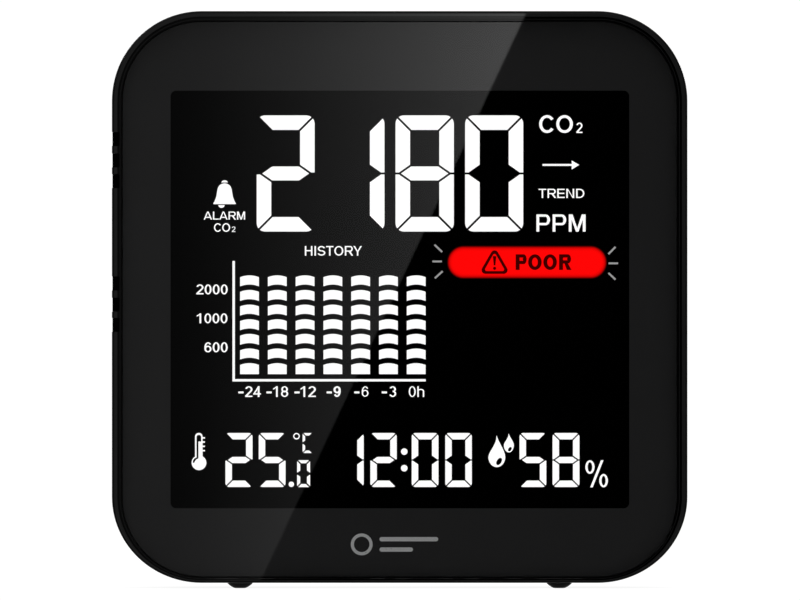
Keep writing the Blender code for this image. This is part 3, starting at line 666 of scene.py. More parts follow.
# the thermometer's empty bore, and the thin line that runs from it round the side of the bulb
add_prism(dark, [(-35.30, -24.72), (-34.50, -24.72), *arc(-34.90, -23.95, 0.40, 0.38, 0, 180)], *OVER)
add_prism(dark, [(-35.30, -24.72), (-35.30, -27.48), (-35.64, -27.66), (-35.90, -28.00), (-35.98, -28.42), (-35.68, -28.42), (-35.60, -28.14), (-35.40, -27.88), (-34.98, -27.62), (-34.98, -24.72)], *OVER)
unlit = new_object("display_unlit_details", dark, UNLIT)
piece(unlit, ROOT)

# the red alert bar, its dark icon and the grey rays beside it
PILL = (8.25, 36.03, 3.57, 9.30)            # its light spreads a little past the drawn edge and fades
red = bmesh.new()
add_prism(red, rounded(*PILL, (PILL[3] - PILL[2]) / 2 - 0.002, 20))


def alert_red():
    """Red light that fades over the last half millimetre before the edge of the bar."""
    n = Nodes("alert_lit_red")
    where = n.add("ShaderNodeSeparateXYZ", i0=n.place())
    x, z = n.maths("DIVIDE", where.outputs[0], MM), n.maths("DIVIDE", where.outputs[2], MM)
    r = (PILL[3] - PILL[2]) / 2
    mx, mz = LENS_CX + (PILL[0] + PILL[1]) / 2, LENS_CZ + (PILL[2] + PILL[3]) / 2
    across = n.maths("MAXIMUM", n.maths("SUBTRACT", n.maths("ABSOLUTE", n.maths("SUBTRACT", x, mx)), (PILL[1] - PILL[0]) / 2 - r), 0.0)
    up = n.maths("SUBTRACT", z, mz)
    away = n.maths("SQRT", n.maths("ADD", n.maths("MULTIPLY", across, across), n.maths("MULTIPLY", up, up)))
    ramp = n.add("ShaderNodeValToRGB", i0=n.maths("SUBTRACT", r, away))
    els = ramp.color_ramp.elements
    els[0].position, els[0].color = 0.0, (0.02, 0.02, 0.02, 1)
    els[1].position, els[1].color = 1.0, (1, 1, 1, 1)
    for at_, v in ((0.12, 0.08), (0.24, 0.36), (0.42, 0.64), (0.6, 0.84), (0.8, 0.95)):
        e = els.new(at_)
        e.color = (v, v, v, 1)
    power = n.maths("MULTIPLY", ramp.outputs[0], n.span(n.noise(35.0, 2.0), 1.07, 1.10))
    return n.surface(n.add("ShaderNodeEmission", Color=(1.0, 0.002, 0.002, 1.0), Strength=power))


alert = new_object("display_alert_bar", red, alert_red())
piece(alert, ROOT)

rays = bmesh.new()
for (xa, za), (xb, zb) in (((6.02, 9.52), (7.43, 8.18)), ((5.65, 6.58), (7.39, 6.58)), ((6.09, 3.63), (7.51, 4.92)), ((36.25, 7.82), (37.55, 9.14)), ((36.25, 6.25), (38.02, 6.25)), ((36.25, 4.62), (37.55, 3.39))):
    dx, dz = xb - xa, zb - za
    k = 0.16 / math.hypot(dx, dz)
    e = 0.05 / math.hypot(dx, dz)
    xa, za, xb, zb = xa + dx * e, za + dz * e, xb - dx * e, zb - dz * e
    add_prism(rays, [(xa + dz * k, za - dx * k), (xb + dz * k, zb - dx * k), (xb - dz * k, zb + dx * k), (xa - dz * k, za + dx * k)])
ray_obj = new_object("display_alert_rays", rays, RAY_GREY)
piece(ray_obj, ROOT)


def triangle(cx, z0, z1, half, r, n=6):
    """An upright triangle with round corners."""
    corners = [(cx - half, z0), (cx + half, z0), (cx, z1)]
    out = []
    for i, p in enumerate(corners):
        a, b = Vector(corners[i - 1]) - Vector(p), Vector(corners[(i + 1) % 3]) - Vector(p)
        a.normalize(), b.normalize()
        half_angle = a.angle(b) / 2
        centre = Vector(p) + (a + b).normalized() * (r / math.sin(half_angle))
        start = Vector(p) + a * (r / math.tan(half_angle)) - centre
        stop = Vector(p) + b * (r / math.tan(half_angle)) - centre
        turn = start.angle_signed(stop)
        for k in range(n + 1):
            q = -turn * k / n
            out.append((centre.x + start.x * math.cos(q) - start.y * math.sin(q), centre.y + start.x * math.sin(q) + start.y * math.cos(q)))
    return out


icon = bmesh.new()
add_frame(icon, triangle(16.50, 4.42, 9.16, 2.74, 0.66), triangle(16.50, 4.90, 8.20, 1.88, 0.30), *OVER)
add_prism(icon, [(16.37, 5.90), (16.63, 5.90), (16.80, 7.50), (16.20, 7.50)], *OVER)
add_prism(icon, circle(16.50, 5.38, 0.27, 20), *OVER)
icon_obj = new_object("display_alert_icon", icon, ALERT_DARK)
piece(icon_obj, ROOT)


# ---------------------------------------------------------------- plain bold lettering, drawn stroke by stroke
# Each character's left margin, width and right margin, in heights of a capital.
SPACING = {
    "A": (0.0, 1.0, 0.0), "L": (0.10, 0.70, 0.04), "R": (0.10, 0.89, 0.01), "M": (0.10, 0.965, 0.10), "C": (0.065, 0.885, 0.05),
    "O": (0.06, 0.965, 0.06), "T": (0.03, 0.79, 0.03), "E": (0.10, 0.77, 0.06), "N": (0.10, 0.81, 0.10), "D": (0.10, 0.85, 0.06),
    "P": (0.10, 0.78, 0.05), "H": (0.10, 0.81, 0.10), "I": (0.10, 0.20, 0.10), "S": (0.05, 0.83, 0.05), "Y": (0.0, 0.93, 0.0),
    "0": (0.055, 0.665, 0.055), "1": (0.10, 0.43, 0.245), "2": (0.035, 0.69, 0.05), "3": (0.045, 0.68, 0.05), "4": (0.02, 0.73, 0.03),
    "6": (0.05, 0.68, 0.05), "8": (0.05, 0.67, 0.05), "9": (0.05, 0.68, 0.05), "h": (0.095, 0.655, 0.09),
}


def band(cx, cz, rx, rz, a0, a1, tv, th):
    """Part of an elliptic ring, tv thick at its sides and th at its top and bottom."""
    return arc(cx, cz, rx, rz, a0, a1) + arc(cx, cz, rx - tv, rz - th, a1, a0)


def bowl(x0, x1, z0, z1, tv, th, tight=0.5):
    """The curved part of a P, R or D: it leaves the stem level and comes back to it."""
    rz = (z1 - z0) / 2
    cx, cz = x1 - (x1 - x0) * tight, (z0 + z1) / 2
    return [(x0, z0), *arc(cx, cz, x1 - cx, rz, -90, 90), (x0, z1), (x0, z1 - th), *arc(cx, cz, x1 - cx - tv, rz - th, 90, -90), (x0, z0 + th)]


def glyph(ch, x, z, w, h, tv, th):
    """The outlines that make up one character; a pair of outlines is a ring."""
    r, t = x + w, z + h
    stem, end = [(x, z), (x + tv, z), (x + tv, t), (x, t)], [(r - tv, z), (r, z), (r, t), (r - tv, t)]
    bar = lambda a, b, lo: [(a, lo), (b, lo), (b, lo + th), (a, lo + th)]
    cx, cz = (x + r) / 2, (z + t) / 2
    if ch == "A":
        s = tv * 1.06
        a, b = [(x, z), (x + s, z), (cx + s * 0.28, t), (cx - s * 0.52, t)], [(r - s, z), (r, z), (cx + s * 0.52, t), (cx - s * 0.28, t)]
        return [a, b, bar(x + w * 0.2, r - w * 0.2, z + h * 0.22)]
    if ch == "L":
        return [stem, bar(x + tv, r, z)]
    if ch == "E":
        return [stem, bar(x + tv, r, z), bar(x + tv, r - w * 0.06, cz - th * 0.45), bar(x + tv, r - w * 0.02, t - th)]
    if ch == "T":
        return [bar(x, r, t - th), [(cx - tv / 2, z), (cx + tv / 2, z), (cx + tv / 2, t - th), (cx - tv / 2, t - th)]]
    if ch == "H":
        return [stem, end, bar(x + tv, r - tv, cz - th * 0.4)]
    if ch == "I":
        return [[(cx - tv / 2, z), (cx + tv / 2, z), (cx + tv / 2, t), (cx - tv / 2, t)]]
    if ch == "N":
        s = tv * 1.1
        return [stem, end, [(x + tv * 0.5, t), (x + s, t), (r - tv * 0.5, z), (r - s, z)]]
    if ch == "M":
        s = tv * 0.9
        return [stem, end, [(x + tv * 0.3, t), (x + tv * 1.35, t), (cx + s / 2, z), (cx - s / 2, z)], [(r - tv * 0.3, t), (r - tv * 1.35, t), (cx - s / 2, z), (cx + s / 2, z)]]
    if ch == "Y":
        s = tv * 1.12
        return [[(cx - tv / 2, z), (cx + tv / 2, z), (cx + tv / 2, z + h * 0.44), (cx - tv / 2, z + h * 0.44)],
                [(x, t), (x + s, t), (cx + tv * 0.45, z + h * 0.40), (cx - tv * 0.5, z + h * 0.40)], [(r, t), (r - s, t), (cx - tv * 0.45, z + h * 0.40), (cx + tv * 0.5, z + h * 0.40)]]
    if ch == "P":
        return [stem, bowl(x + tv, r, z + h * 0.375, t, tv, th, 0.42)]
    if ch == "R":
        return [stem, bowl(x + tv, r - w * 0.045, z + h * 0.41, t, tv, th, 0.40), [(x + w * 0.42, z + h * 0.45), (x + w * 0.68, z + h * 0.45), (r, z), (r - tv * 1.2, z)]]
    if ch == "D":
        return [stem, bowl(x + tv, r, z, t, tv, th, 0.72)]
    if ch in "O0":
        return [(arc(cx, cz, w / 2, h / 2, 0, 351, 20), arc(cx, cz, w / 2 - tv, h / 2 - th, 0, 351, 20))]
    if ch == "C":
        return [band(cx + w * 0.02, cz, w * 0.52, h / 2, 36, 324, tv, th)]
    if ch == "S":
        up, low = (h + th) / 4, (h + th) / 4
        return [band(cx, t - up, w * 0.47, up, 14, 268, tv, th), band(cx, z + low, w / 2, low, 88, -166, tv, th)]
    if ch == "3":
        up, low = h * 0.285, h * 0.30
        return [band(cx, t - up, w * 0.46, up, 158, -86, tv, th), band(cx, z + low, w / 2, low, 92, -162, tv, th)]
    if ch == "8":
        up, low = h * 0.285, h * 0.30
        rings = [(t - up, w * 0.455, up), (z + low, w / 2, low)]
        return [(arc(cx, c, rx, rz, 0, 351, 20), arc(cx, c, rx - tv, rz - th, 0, 351, 20)) for c, rx, rz in rings]
    if ch == "6":
        low = h * 0.33
        return [(arc(cx, z + low, w / 2, low, 0, 351, 20), arc(cx, z + low, w / 2 - tv, low - th, 0, 351, 20)), band(cx + w * 0.02, cz, w * 0.52, h / 2, 38, 196, tv, th)]
    if ch == "9":
        return [tuple([(2 * cx - px, 2 * cz - pz) for px, pz in ring_] for ring_ in shape) if isinstance(shape, tuple) else [(2 * cx - px, 2 * cz - pz) for px, pz in shape] for shape in glyph("6", x, z, w, h, tv, th)]
    if ch == "2":
        rz = h * 0.30
        c = t - rz
        a = math.radians(-32)
        out_, in_ = (cx + w / 2 * math.cos(a), c + rz * math.sin(a)), (cx + (w / 2 - tv) * math.cos(a), c + (rz - th) * math.sin(a))
        return [band(cx, c, w / 2, rz, 166, -32, tv, th), [in_, out_, (x + tv * 1.35, z + th), (x, z + th)], bar(x, r, z)]
    if ch == "4":
        sx = x + w * 0.58
        return [[(sx, z), (sx + tv, z), (sx + tv, t), (sx, t)], [(x, z + h * 0.22), (r, z + h * 0.22), (r, z + h * 0.22 + th), (x, z + h * 0.22 + th)],
                [(x, z + h * 0.22 + th * 0.6), (x + tv * 0.9, z + h * 0.22 + th * 0.6), (sx + tv * 0.2, t - tv * 1.3), (sx + tv * 0.2, t)]]
    if ch == "1":
        return [end, [(r - tv, t), (r - tv, t - th * 1.5), (x, t - h * 0.34), (x, t - h * 0.34 + th * 1.05), (r - tv * 1.25, t - th * 0.6)]]
    if ch == "h":
        rz = h * 0.24
        top = z + h * 0.75
        arch = [(r - tv, z), (r, z), *arc(cx, top - rz, w / 2, rz, 0, 140), *arc(cx, top - rz, w / 2 - tv, rz - th, 140, 0)]
        return [stem, arch]
    return []


def words(name, items, mat, depth=None, sink=True):
    """Words and figures, each fitted to its own box: text, x0, x1, z0, z1, stem over height, bar over height."""
    bm = bmesh.new()
    depth = depth or ART_T
    for text, x0, x1, z0, z1, heavy, level in items:
        halo = HALO if sink else 0.0
        x0, x1, z0, z1 = x0 + halo, x1 - halo, z0 + halo, z1 - halo
        h = z1 - z0
        advance = sum(sum(SPACING[c]) for c in text) - SPACING[text[0]][0] - SPACING[text[-1]][2]
        k = (x1 - x0) / advance
        x = x0 - SPACING[text[0]][0] * k
        for c in text:
            left, ink, right = (v * k for v in SPACING[c])
            for shape in glyph(c, x + left, z0, ink, h, heavy * h - 2 * halo, level * h - 2 * halo):
                if isinstance(shape, tuple):
                    add_frame(bm, *shape, *depth)
                else:
                    add_prism(bm, shape, *depth)
            x += left + ink + right
    made = new_object(name, bm, mat)
    return piece(made, ROOT)


ROW = (-17.03, -15.06)
words("display_legends", [
    ("CO", 24.20, 30.16, 28.86, 32.06, 0.20, 0.18), ("2", 30.66, 31.83, 28.86, 30.77, 0.205, 0.175),
    ("TREND", 24.10, 32.16, 17.56, 19.26, 0.225, 0.19), ("PPM", 23.73, 32.37, 11.70, 14.80, 0.195, 0.165),
    ("ALARM", -34.12, -26.81, 13.80, 15.30, 0.235, 0.20), ("CO", -32.32, -29.42, 11.67, 13.28, 0.215, 0.20), ("2", -29.23, -28.50, 11.66, 12.70, 0.25, 0.22),
    ("HISTORY", -16.53, -6.50, 7.54, 9.31, 0.215, 0.185),
    ("2000", -35.39, -29.84, 0.80, 2.64, 0.235, 0.185), ("1000", -35.32, -29.88, -4.22, -2.40, 0.235, 0.185), ("600", -33.99, -29.84, -9.27, -7.41, 0.235, 0.185),
    ("24", -26.90, -24.06, *ROW, 0.225, 0.175), ("18", -22.05, -19.32, *ROW, 0.215, 0.165), ("12", -17.28, -14.52, *ROW, 0.225, 0.175),
    ("9", -11.55, -10.20, *ROW, 0.25, 0.20), ("6", -6.64, -5.36, -16.98, -15.08, 0.19, 0.15), ("3", -1.86, -0.55, *ROW, 0.215, 0.17), ("0h", 1.53, 4.32, *ROW, 0.185, 0.15),
], SEGMENT_WHITE)
marks = bmesh.new()
for x in (-28.07, -23.18, -18.32, -12.72, -7.92, -3.14):
    add_prism(marks, [(x + 0.03, -16.36), (x + 0.93, -16.36), (x + 0.93, -16.02), (x + 0.03, -16.02)])
for x0, x1, z0, z1 in ((32.26, 33.90, -30.36, -27.96), (34.68, 36.22, -32.71, -30.34)):
    mx, mz, rx, rz = (x0 + x1) / 2, (z0 + z1) / 2, (x1 - x0) / 2 - 0.02, (z1 - z0) / 2 - 0.02
    add_frame(marks, arc(mx, mz, rx, rz, 0, 351, 20), arc(mx, mz, rx - 0.40, rz - 0.34, 0, 351, 20))
add_prism(marks, [(33.12, -32.69), (33.56, -32.69), (35.43, -27.98), (34.99, -27.98)])
piece(new_object("display_signs", marks, SEGMENT_WHITE), ROOT)
words("display_alert_word", [("POOR", 20.17, 29.88, 5.10, 7.82, 0.25, 0.21)], ALERT_DARK, depth=OVER, sink=False)

# ================================================================ plain mark on the border
mark = bmesh.new()
MARK_T = (1.72, 1.75)
add_frame(mark, circle(LENS_CX - 6.6, -42.6, 1.9, 40), circle(LENS_CX - 6.6, -42.6, 1.35, 40), *MARK_T)
add_prism(mark, stadium(1.6, -41.7, 10.2, 0.75, 0.0, 8), *MARK_T)
add_prism(mark, stadium(-0.6, -43.5, 5.8, 0.75, 0.0, 8), *MARK_T)
piece(new_object("border_mark", mark, MARK_GREY), ROOT)

# ================================================================ rear cover
bm = bmesh.new()
rings = []
for k in range(14, -1, -1):
    a = math.radians(90 * k / 14)
    rings.append(ring(housing(R_BACK * (1 - math.cos(a))), DEPTH - R_BACK + R_BACK * math.sin(a)))
rings += [
    ring(housing(0.0), PART_LINE + 0.5),
    ring(housing(0.07), PART_LINE + 0.33),
    ring(housing(0.25), PART_LINE + 0.25),
    ring(housing(1.25), PART_LINE + 0.25),
    ring(housing(1.25), 11.5),
    ring(housing(WALL + 0.05), 11.5),
]
for k in range(0, 7):
    a = math.radians(15 * k)
    rings.append(ring(housing(WALL + 0.05 + 3.1 * (1 - math.cos(a))), 26.9 + 3.1 * math.sin(a)))
add_loft(bm, rings)
cover = new_object("cover_shell", bm, MATS["case_plastic"])

PEGS = [(-27.0, 15.0), (27.0, 15.0)]
bm = bmesh.new()
for x, z in CASE_SCREWS:
    add_turned(bm, x, z, [(4.6, 16.2), (4.6, 30.8)], 36)
for x, z in PEGS:
    add_turned(bm, x, z, [(0.95, 22.9), (0.95, 25.7), (2.2, 25.7), (2.2, 30.8)], 24)
boolean(cover, "UNION", bm)
bm = bmesh.new()
for x, z in CASE_SCREWS:
    add_turned(bm, x, z, [(1.5, 15.0), (1.5, 18.2), (2.8, 18.2), (2.8, DEPTH - 0.25), (3.3, DEPTH + 0.25)], 36)
for _, x, z in KEYS:
    add_loft(bm, [ring(stadium(x, z, *KEY_SIZE, g), t) for t, g in ((29.0, 0.2), (DEPTH - 0.2, 0.2), (DEPTH + 0.2, 0.6))])
add_loft(bm, [ring(stadium(0, USB_Z, 9.7, 4.0, g), t) for t, g in ((29.0, 0.0), (DEPTH - 0.35, 0.0), (DEPTH + 0.2, 0.55))])
for k in range(6):
    z = 57.0 + 3.6 * k
    add_loft(bm, [ring(stadium(-31.0, z, 16.0, 1.7, g, 8), t) for t, g in ((29.0, 0.0), (DEPTH - 0.15, 0.0), (DEPTH + 0.2, 0.35))])
for k in range(7):
    a = math.radians(60 * k)
    x, z = BUZZER if k == 6 else (BUZZER[0] + 3.2 * math.cos(a), BUZZER[1] + 3.2 * math.sin(a))
    add_turned(bm, x, z, [(0.8, 29.0), (0.8, DEPTH - 0.15), (1.1, DEPTH + 0.2)], 24)
add_loft(bm, [ring(rounded(LABEL_LO[0] - 0.3, LABEL_HI[0] + 0.3, LABEL_LO[2] - 0.3, LABEL_HI[2] + 0.3, 1.3, 8), t) for t in (31.5, 33.0)])
for x, t in FEET[2:]:
    vertical_hole(bm, x, t, 1.55, 0.0, 3.6)
boolean(cover, "DIFFERENCE", bm)
even_normals(cover)
piece(cover, ROOT, ["rear_cover"])

# ================================================================ keys, screws, feet
w, h = KEY_SIZE
for k, (name, x, z) in enumerate(KEYS, 1):
    bm = bmesh.new()
    rings = [ring(stadium(x, z, w, h, 0.8), 29.0), ring(stadium(x, z, w, h, 0.8), 29.7), ring(stadium(x, z, w, h, 0.0), 29.7)]
    for j in range(6):
        a = math.radians(90 * j / 5)
        rings.append(ring(stadium(x, z, w, h, -0.4 * (1 - math.cos(a))), KEY_TOP - 0.4 + 0.4 * math.sin(a)))
    # a shallow dish under the finger
    rings.append(ring(stadium(x, z, w, h, -0.8), KEY_TOP - 0.03))
    rings.append(ring(stadium(x, z, w, h, -1.6), KEY_TOP - 0.12))
    add_loft(bm, rings)
    cap = new_object(f"{name}_cap", bm, MATS["key_plastic"])
    even_normals(cap)
    piece(cap, body_of(name), [name])

# a small printed sign on each key: a ring, two arrows and a sun
SIGNS = {
    "key_mode": [(circle(0, 0, 0.78, 32), circle(0, 0, 0.50, 32))],
    "key_up": [[(-0.9, -0.62), (0.9, -0.62), (0.0, 0.82)]],
    "key_down": [[(0.9, 0.62), (-0.9, 0.62), (0.0, -0.82)]],
    "key_light": [circle(0, 0, 0.40, 28)] + [[(c * 0.58 - s_ * 0.1, s_ * 0.58 + c * 0.1), (c * 0.58 + s_ * 0.1, s_ * 0.58 - c * 0.1), (c * 0.95 + s_ * 0.1, s_ * 0.95 - c * 0.1), (c * 0.95 - s_ * 0.1, s_ * 0.95 + c * 0.1)] for c, s_ in ((math.cos(math.radians(45 * q)), math.sin(math.radians(45 * q))) for q in range(8))],
}
for name, x, z in KEYS:
    bm = bmesh.new()
    t0, t1 = KEY_TOP - 0.14, KEY_TOP - 0.10
    for shape in SIGNS[name]:
        if isinstance(shape, tuple):
            outer, inner = ([(x + a, z + b) for a, b in side] for side in shape)
            add_loft(bm, [ring(outer, t1), ring(outer, t0), ring(inner, t0), ring(inner, t1)], loop=True)
        else:
            add_loft(bm, [ring([(x + a, z + b) for a, b in shape], t) for t in (t0, t1)])
    piece(new_object(f"{name}_sign", bm, KEY_MARK), body_of(name))

for k, (x, z) in enumerate(CASE_SCREWS, 1):
    lo, hi = box_mm(f"case_screw_{k}")
    tip, end = lo[1] - Y_FRONT, hi[1] - Y_FRONT
    head = (hi[0] - lo[0]) / 2
    bm = bmesh.new()
    rings = [(0.5, tip), (1.2, tip + 1.5), (1.2, end - 1.8), (head, end - 1.8), (head, end - 0.7)]
    rings += [(head * math.cos(math.radians(a)), end - 0.7 + 0.7 * math.sin(math.radians(a))) for a in (15, 30, 45, 55)]
    rings.append((head * 0.3, end))
    add_turned(bm, x, z, rings, 36)
    screw = new_object(f"case_screw_{k}_turned", bm, MATS["black_screw_steel"])
    bm = bmesh.new()
    cross = [(0.3, -1.35), (0.3, -0.3), (1.35, -0.3), (1.35, 0.3), (0.3, 0.3), (0.3, 1.35), (-0.3, 1.35), (-0.3, 0.3), (-1.35, 0.3), (-1.35, -0.3), (-0.3, -0.3), (-0.3, -1.35)]
    add_loft(bm, [ring([(x + a * s, z + b * s) for a, b in cross], t) for t, s in ((end - 1.0, 0.55), (end + 0.4, 1.15))])
    boolean(screw, "DIFFERENCE", bm)
    even_normals(screw)
    piece(screw, ROOT, [f"case_screw_{k}"])

FOOT = [(0.78, 0.0), (0.98, 0.035), (1.24, 0.14), (1.42, 0.24), (1.58, 0.35), (1.72, 0.435), (1.84, 0.52), (1.95, 0.61), (2.05, 0.70), (2.14, 0.80), (2.2, 0.88), (1.3, 0.88), (1.3, 3.15), (1.75, 3.25), (1.2, 3.9)]
for k, (x, t) in enumerate(FEET, 1):
    bm = bmesh.new()
    n = 40
    add_loft(bm, [[at(x + r * math.cos(2 * math.pi * j / n), t + r * math.sin(2 * math.pi * j / n), z) for j in range(n)] for r, z in FOOT])
    foot = new_object(f"foot_{k}_dome", bm, MATS["black_rubber"])
    even_normals(foot)
    piece(foot, ROOT, [f"foot_{k}"])

# ================================================================ camera
cam = bpy.data.cameras.new("camera")
cam_obj = bpy.data.objects.new("camera", cam)
SCENE.collection.objects.link(cam_obj)
SCENE.camera = cam_obj
FRAME_W, LONG = 138.99, 1000.0              # width that the picture takes in at the rim, and the long lens
cam.lens, cam.sensor_width = LONG, 36.0
CAM_D = FRAME_W * LONG / 36.0
AIM = (0.06, 50.13)
cam_obj.location = at(AIM[0], -CAM_D, AIM[1])
cam_obj.rotation_euler = (math.radians(90), 0, 0)
cam.clip_start, cam.clip_end = 0.1, 60.0

# ================================================================ stage: floor, world, lights
bm = bmesh.new()
bm.faces.new([bm.verts.new(p) for p in ((-6, -6, 0), (6, -6, 0), (6, 6, 0), (-6, 6, 0))])
floor = new_object("floor", bm)
n = Nodes("floor_paper_painted_shadow")
# to the camera the floor is plain white emission, darkened to about nine tenths where the ambient occlusion node finds
# the object close: a painted contact shadow
contact = n.add("ShaderNodeAmbientOcclusion", {"samples": 8}, Distance=0.010).outputs["AO"]
painted_contact_shadow = n.span(contact, 0.86, 1.0, 0.0, 0.9)
seen = n.add("ShaderNodeEmission", Color=(1, 1, 1, 1), Strength=n.maths("MULTIPLY", painted_contact_shadow, 1.05))
dull = n.add("ShaderNodeBsdfDiffuse", Color=(0.28, 0.28, 0.28, 1))
floor.data.materials.append(n.surface(n.add("ShaderNodeMixShader", i0=n.add("ShaderNodeLightPath").outputs["Is Camera Ray"], i1=dull, i2=seen)))
floor.visible_glossy = floor.visible_diffuse = False     # the paper is far from the lights: it sends nothing back up

world = bpy.data.worlds.new("studio")
SCENE.world = world
world.use_nodes = True
tree = world.node_tree
tree.nodes.clear()


def wnode(kind, ops=None, **inputs):
    node = tree.nodes.new(kind)
    for key, value in (ops or {}).items():
        setattr(node, key, value)
    for key, value in inputs.items():
        socket = node.inputs[int(key[1:])]
        if isinstance(value, bpy.types.NodeSocket):
            tree.links.new(value, socket)
        else:
            socket.default_value = value
    return node


direction = wnode("ShaderNodeTexCoord").outputs["Generated"]
xyz = wnode("ShaderNodeSeparateXYZ", i0=direction)
front = wnode("ShaderNodeMath", {"operation": "MULTIPLY"}, i0=xyz.outputs[1], i1=-1.0).outputs[0]
# soft light: weak from in front, stronger from behind and above, so that the black sides and back can be read
back = wnode("ShaderNodeMapRange", i0=front, i1=0.0, i2=-1.0, i3=0.0, i4=1.5).outputs[0]
above = wnode("ShaderNodeMapRange", {"interpolation_type": "SMOOTHSTEP"}, i0=xyz.outputs[2], i1=0.75, i2=1.0, i3=0.0, i4=1.2).outputs[0]
soft = wnode("ShaderNodeMath", {"operation": "ADD"}, i0=wnode("ShaderNodeMath", {"operation": "ADD"}, i0=back, i1=above).outputs[0], i1=0.18).outputs[0]
# what gloss sees: a soft ring round the camera whose middle is dark, so that satin faces turned to the front
# glow a little while the mirror-like lens stays black; then dark to the sides, and soft boxes above and behind
ring_out = wnode("ShaderNodeMapRange", {"interpolation_type": "SMOOTHSTEP"}, i0=front, i1=0.90, i2=0.965, i3=0.0, i4=1.0).outputs[0]
ring_in = wnode("ShaderNodeMapRange", {"interpolation_type": "SMOOTHSTEP"}, i0=front, i1=0.9975, i2=0.9992, i3=0.27, i4=0.0).outputs[0]
halo = wnode("ShaderNodeMath", {"operation": "MULTIPLY"}, i0=ring_out, i1=ring_in).outputs[0]
over = wnode("ShaderNodeMapRange", {"interpolation_type": "SMOOTHSTEP"}, i0=xyz.outputs[2], i1=0.40, i2=0.85, i3=0.0, i4=0.8).outputs[0]
over = wnode("ShaderNodeMath", {"operation": "MULTIPLY"}, i0=over, i1=wnode("ShaderNodeMapRange", {"interpolation_type": "SMOOTHSTEP"}, i0=front, i1=-0.30, i2=-0.60, i3=0.0, i4=1.0).outputs[0]).outputs[0]
rear = wnode("ShaderNodeMapRange", {"interpolation_type": "SMOOTHSTEP"}, i0=front, i1=-0.40, i2=-0.90, i3=0.0, i4=0.75).outputs[0]
sides = wnode("ShaderNodeMapRange", {"interpolation_type": "SMOOTHSTEP"}, i0=front, i1=0.85, i2=0.5, i3=0.0, i4=0.03).outputs[0]
# the pale floor in front of it, mirrored when it is looked at from above
low_on = wnode("ShaderNodeMapRange", {"interpolation_type": "SMOOTHSTEP"}, i0=xyz.outputs[2], i1=-0.10, i2=-0.30, i3=0.0, i4=0.42).outputs[0]
low_off = wnode("ShaderNodeMapRange", {"interpolation_type": "SMOOTHSTEP"}, i0=xyz.outputs[2], i1=-0.80, i2=-0.45, i3=0.0, i4=1.0).outputs[0]
low = wnode("ShaderNodeMath", {"operation": "MULTIPLY"}, i0=low_on, i1=low_off).outputs[0]
low = wnode("ShaderNodeMath", {"operation": "MULTIPLY"}, i0=low, i1=wnode("ShaderNodeMapRange", {"interpolation_type": "SMOOTHSTEP"}, i0=front, i1=0.40, i2=0.62, i3=0.0, i4=1.0).outputs[0]).outputs[0]
add2 = lambda a, b: wnode("ShaderNodeMath", {"operation": "ADD"}, i0=a, i1=b).outputs[0]
seen_by_gloss = add2(add2(add2(halo, over), add2(rear, sides)), low)
path = wnode("ShaderNodeLightPath")
strength = wnode("ShaderNodeMix", {"data_type": "FLOAT"}, i0=path.outputs["Is Glossy Ray"], i2=soft, i3=seen_by_gloss).outputs[0]
lighting = wnode("ShaderNodeBackground", i0=(1, 1, 1, 1), i1=strength)
plain = wnode("ShaderNodeBackground", i0=(1, 1, 1, 1), i1=1.05)
both = wnode("ShaderNodeMixShader", i0=path.outputs["Is Camera Ray"], i1=lighting.outputs[0], i2=plain.outputs[0])
tree.links.new(both.outputs[0], wnode("ShaderNodeOutputWorld").inputs[0])

# the tall soft box in front whose slanted edge lies across the lens; only gloss sees it
CARD_D = 120.0
spread = 1.0 + (CARD_D + LENS_T[0]) / CAM_D


def on_card(x, z):
    """Where the card must be for the lens to mirror it at x, z."""
    return (AIM[0] + (x - AIM[0]) * spread, AIM[1] + (z - AIM[1]) * spread)


edge_top, edge_low = on_card(22.05, 100.2), on_card(-23.93, 1.81)
slope = (edge_top[0] - edge_low[0]) / (edge_top[1] - edge_low[1])
z_low, z_high = -40.0, 180.0
line = lambda z: edge_low[0] + slope * (z - edge_low[1])
bm = bmesh.new()
bm.faces.new([bm.verts.new(at(x, -CARD_D, z)) for x, z in ((-110.0, z_low), (line(z_low) + 1.0, z_low), (line(z_high) + 1.0, z_high), (-110.0, z_high))])
card = new_object("soft_box", bm)
n = Nodes("soft_box_glow")
place = n.add("ShaderNodeSeparateXYZ", i0=n.add("ShaderNodeNewGeometry").outputs["Position"])
px, pz = n.maths("DIVIDE", place.outputs[0], MM), n.maths("DIVIDE", place.outputs[2], MM)
beyond = n.maths("SUBTRACT", n.maths("SUBTRACT", px, edge_low[0]), n.maths("MULTIPLY", n.maths("SUBTRACT", pz, edge_low[1]), slope))
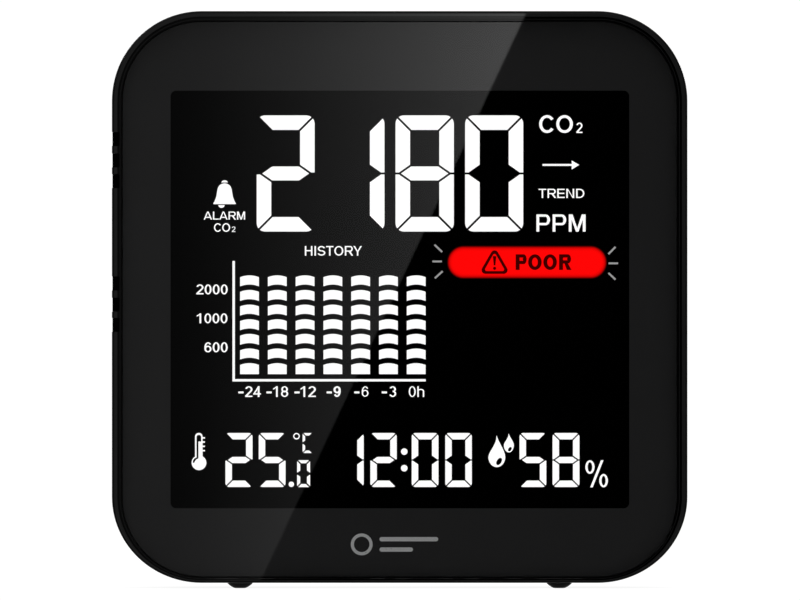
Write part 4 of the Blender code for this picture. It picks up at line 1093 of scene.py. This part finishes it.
edge = n.add("ShaderNodeMapRange", {"interpolation_type": "SMOOTHSTEP"}, i0=beyond, i1=0.35, i2=-0.35, i3=0.0, i4=1.0).outputs[0]
LEFT_X, RIGHT_X = on_card(-46.0, 0)[0], on_card(20.0, 0)[0]
ramp_at = n.span(px, 0.0, 1.0, LEFT_X, RIGHT_X)
ramp = n.add("ShaderNodeValToRGB", i0=ramp_at)


def linear(v):
    v /= 255.0
    return v / 12.92 if v <= 0.04045 else ((v + 0.055) / 1.055) ** 2.4


# even at the left side of the lens, then brighter, evenly to the eye, as far as the slanted edge
GLOW = 1.0 / LENS_GLOSS
stops = []
for k in range(12):
    x_here = -46.0 + 6.0 * k
    stops.append((k / 11, linear(7.0 + 0.731 * max(0.0, x_here + 38.2)) * GLOW))
els = ramp.color_ramp.elements
els[0].position, els[0].color = stops[0][0], (stops[0][1],) * 3 + (1,)
els[1].position, els[1].color = stops[-1][0], (stops[-1][1],) * 3 + (1,)
for p, v in stops[1:-1]:
    e = els.new(p)
    e.color = (v, v, v, 1)
glow = n.add("ShaderNodeEmission", Color=ramp.outputs[0], Strength=edge)
card.data.materials.append(n.surface(n.add("ShaderNodeAddShader", i0=glow, i1=n.add("ShaderNodeBsdfTransparent"))))
card.visible_camera = card.visible_diffuse = card.visible_shadow = False
card.visible_transmission = card.visible_volume_scatter = False

# soft lights above and behind, which shape the sides and the back
def area(name, place, aim, size, power):
    light = bpy.data.lights.new(name, "AREA")
    light.shape, light.size, light.energy = "DISK", size, power
    obj = bpy.data.objects.new(name, light)
    SCENE.collection.objects.link(obj)
    obj.location = place
    obj.rotation_euler = (Vector(aim) - Vector(place)).to_track_quat("-Z", "Y").to_euler()
    obj.visible_camera = False
    return obj


area("light_rear_left", (-0.9, 1.1, 0.9), (0, 0, 0.05), 0.6, 18.0)
area("light_rear_right", (1.15, 1.3, 0.5), (0, 0, 0.05), 0.5, 15.0)

SCENE.view_settings.view_transform = "Standard"
SCENE.view_settings.look = "None"
SCENE.view_settings.exposure = 0.0
SCENE.view_settings.gamma = 1.0
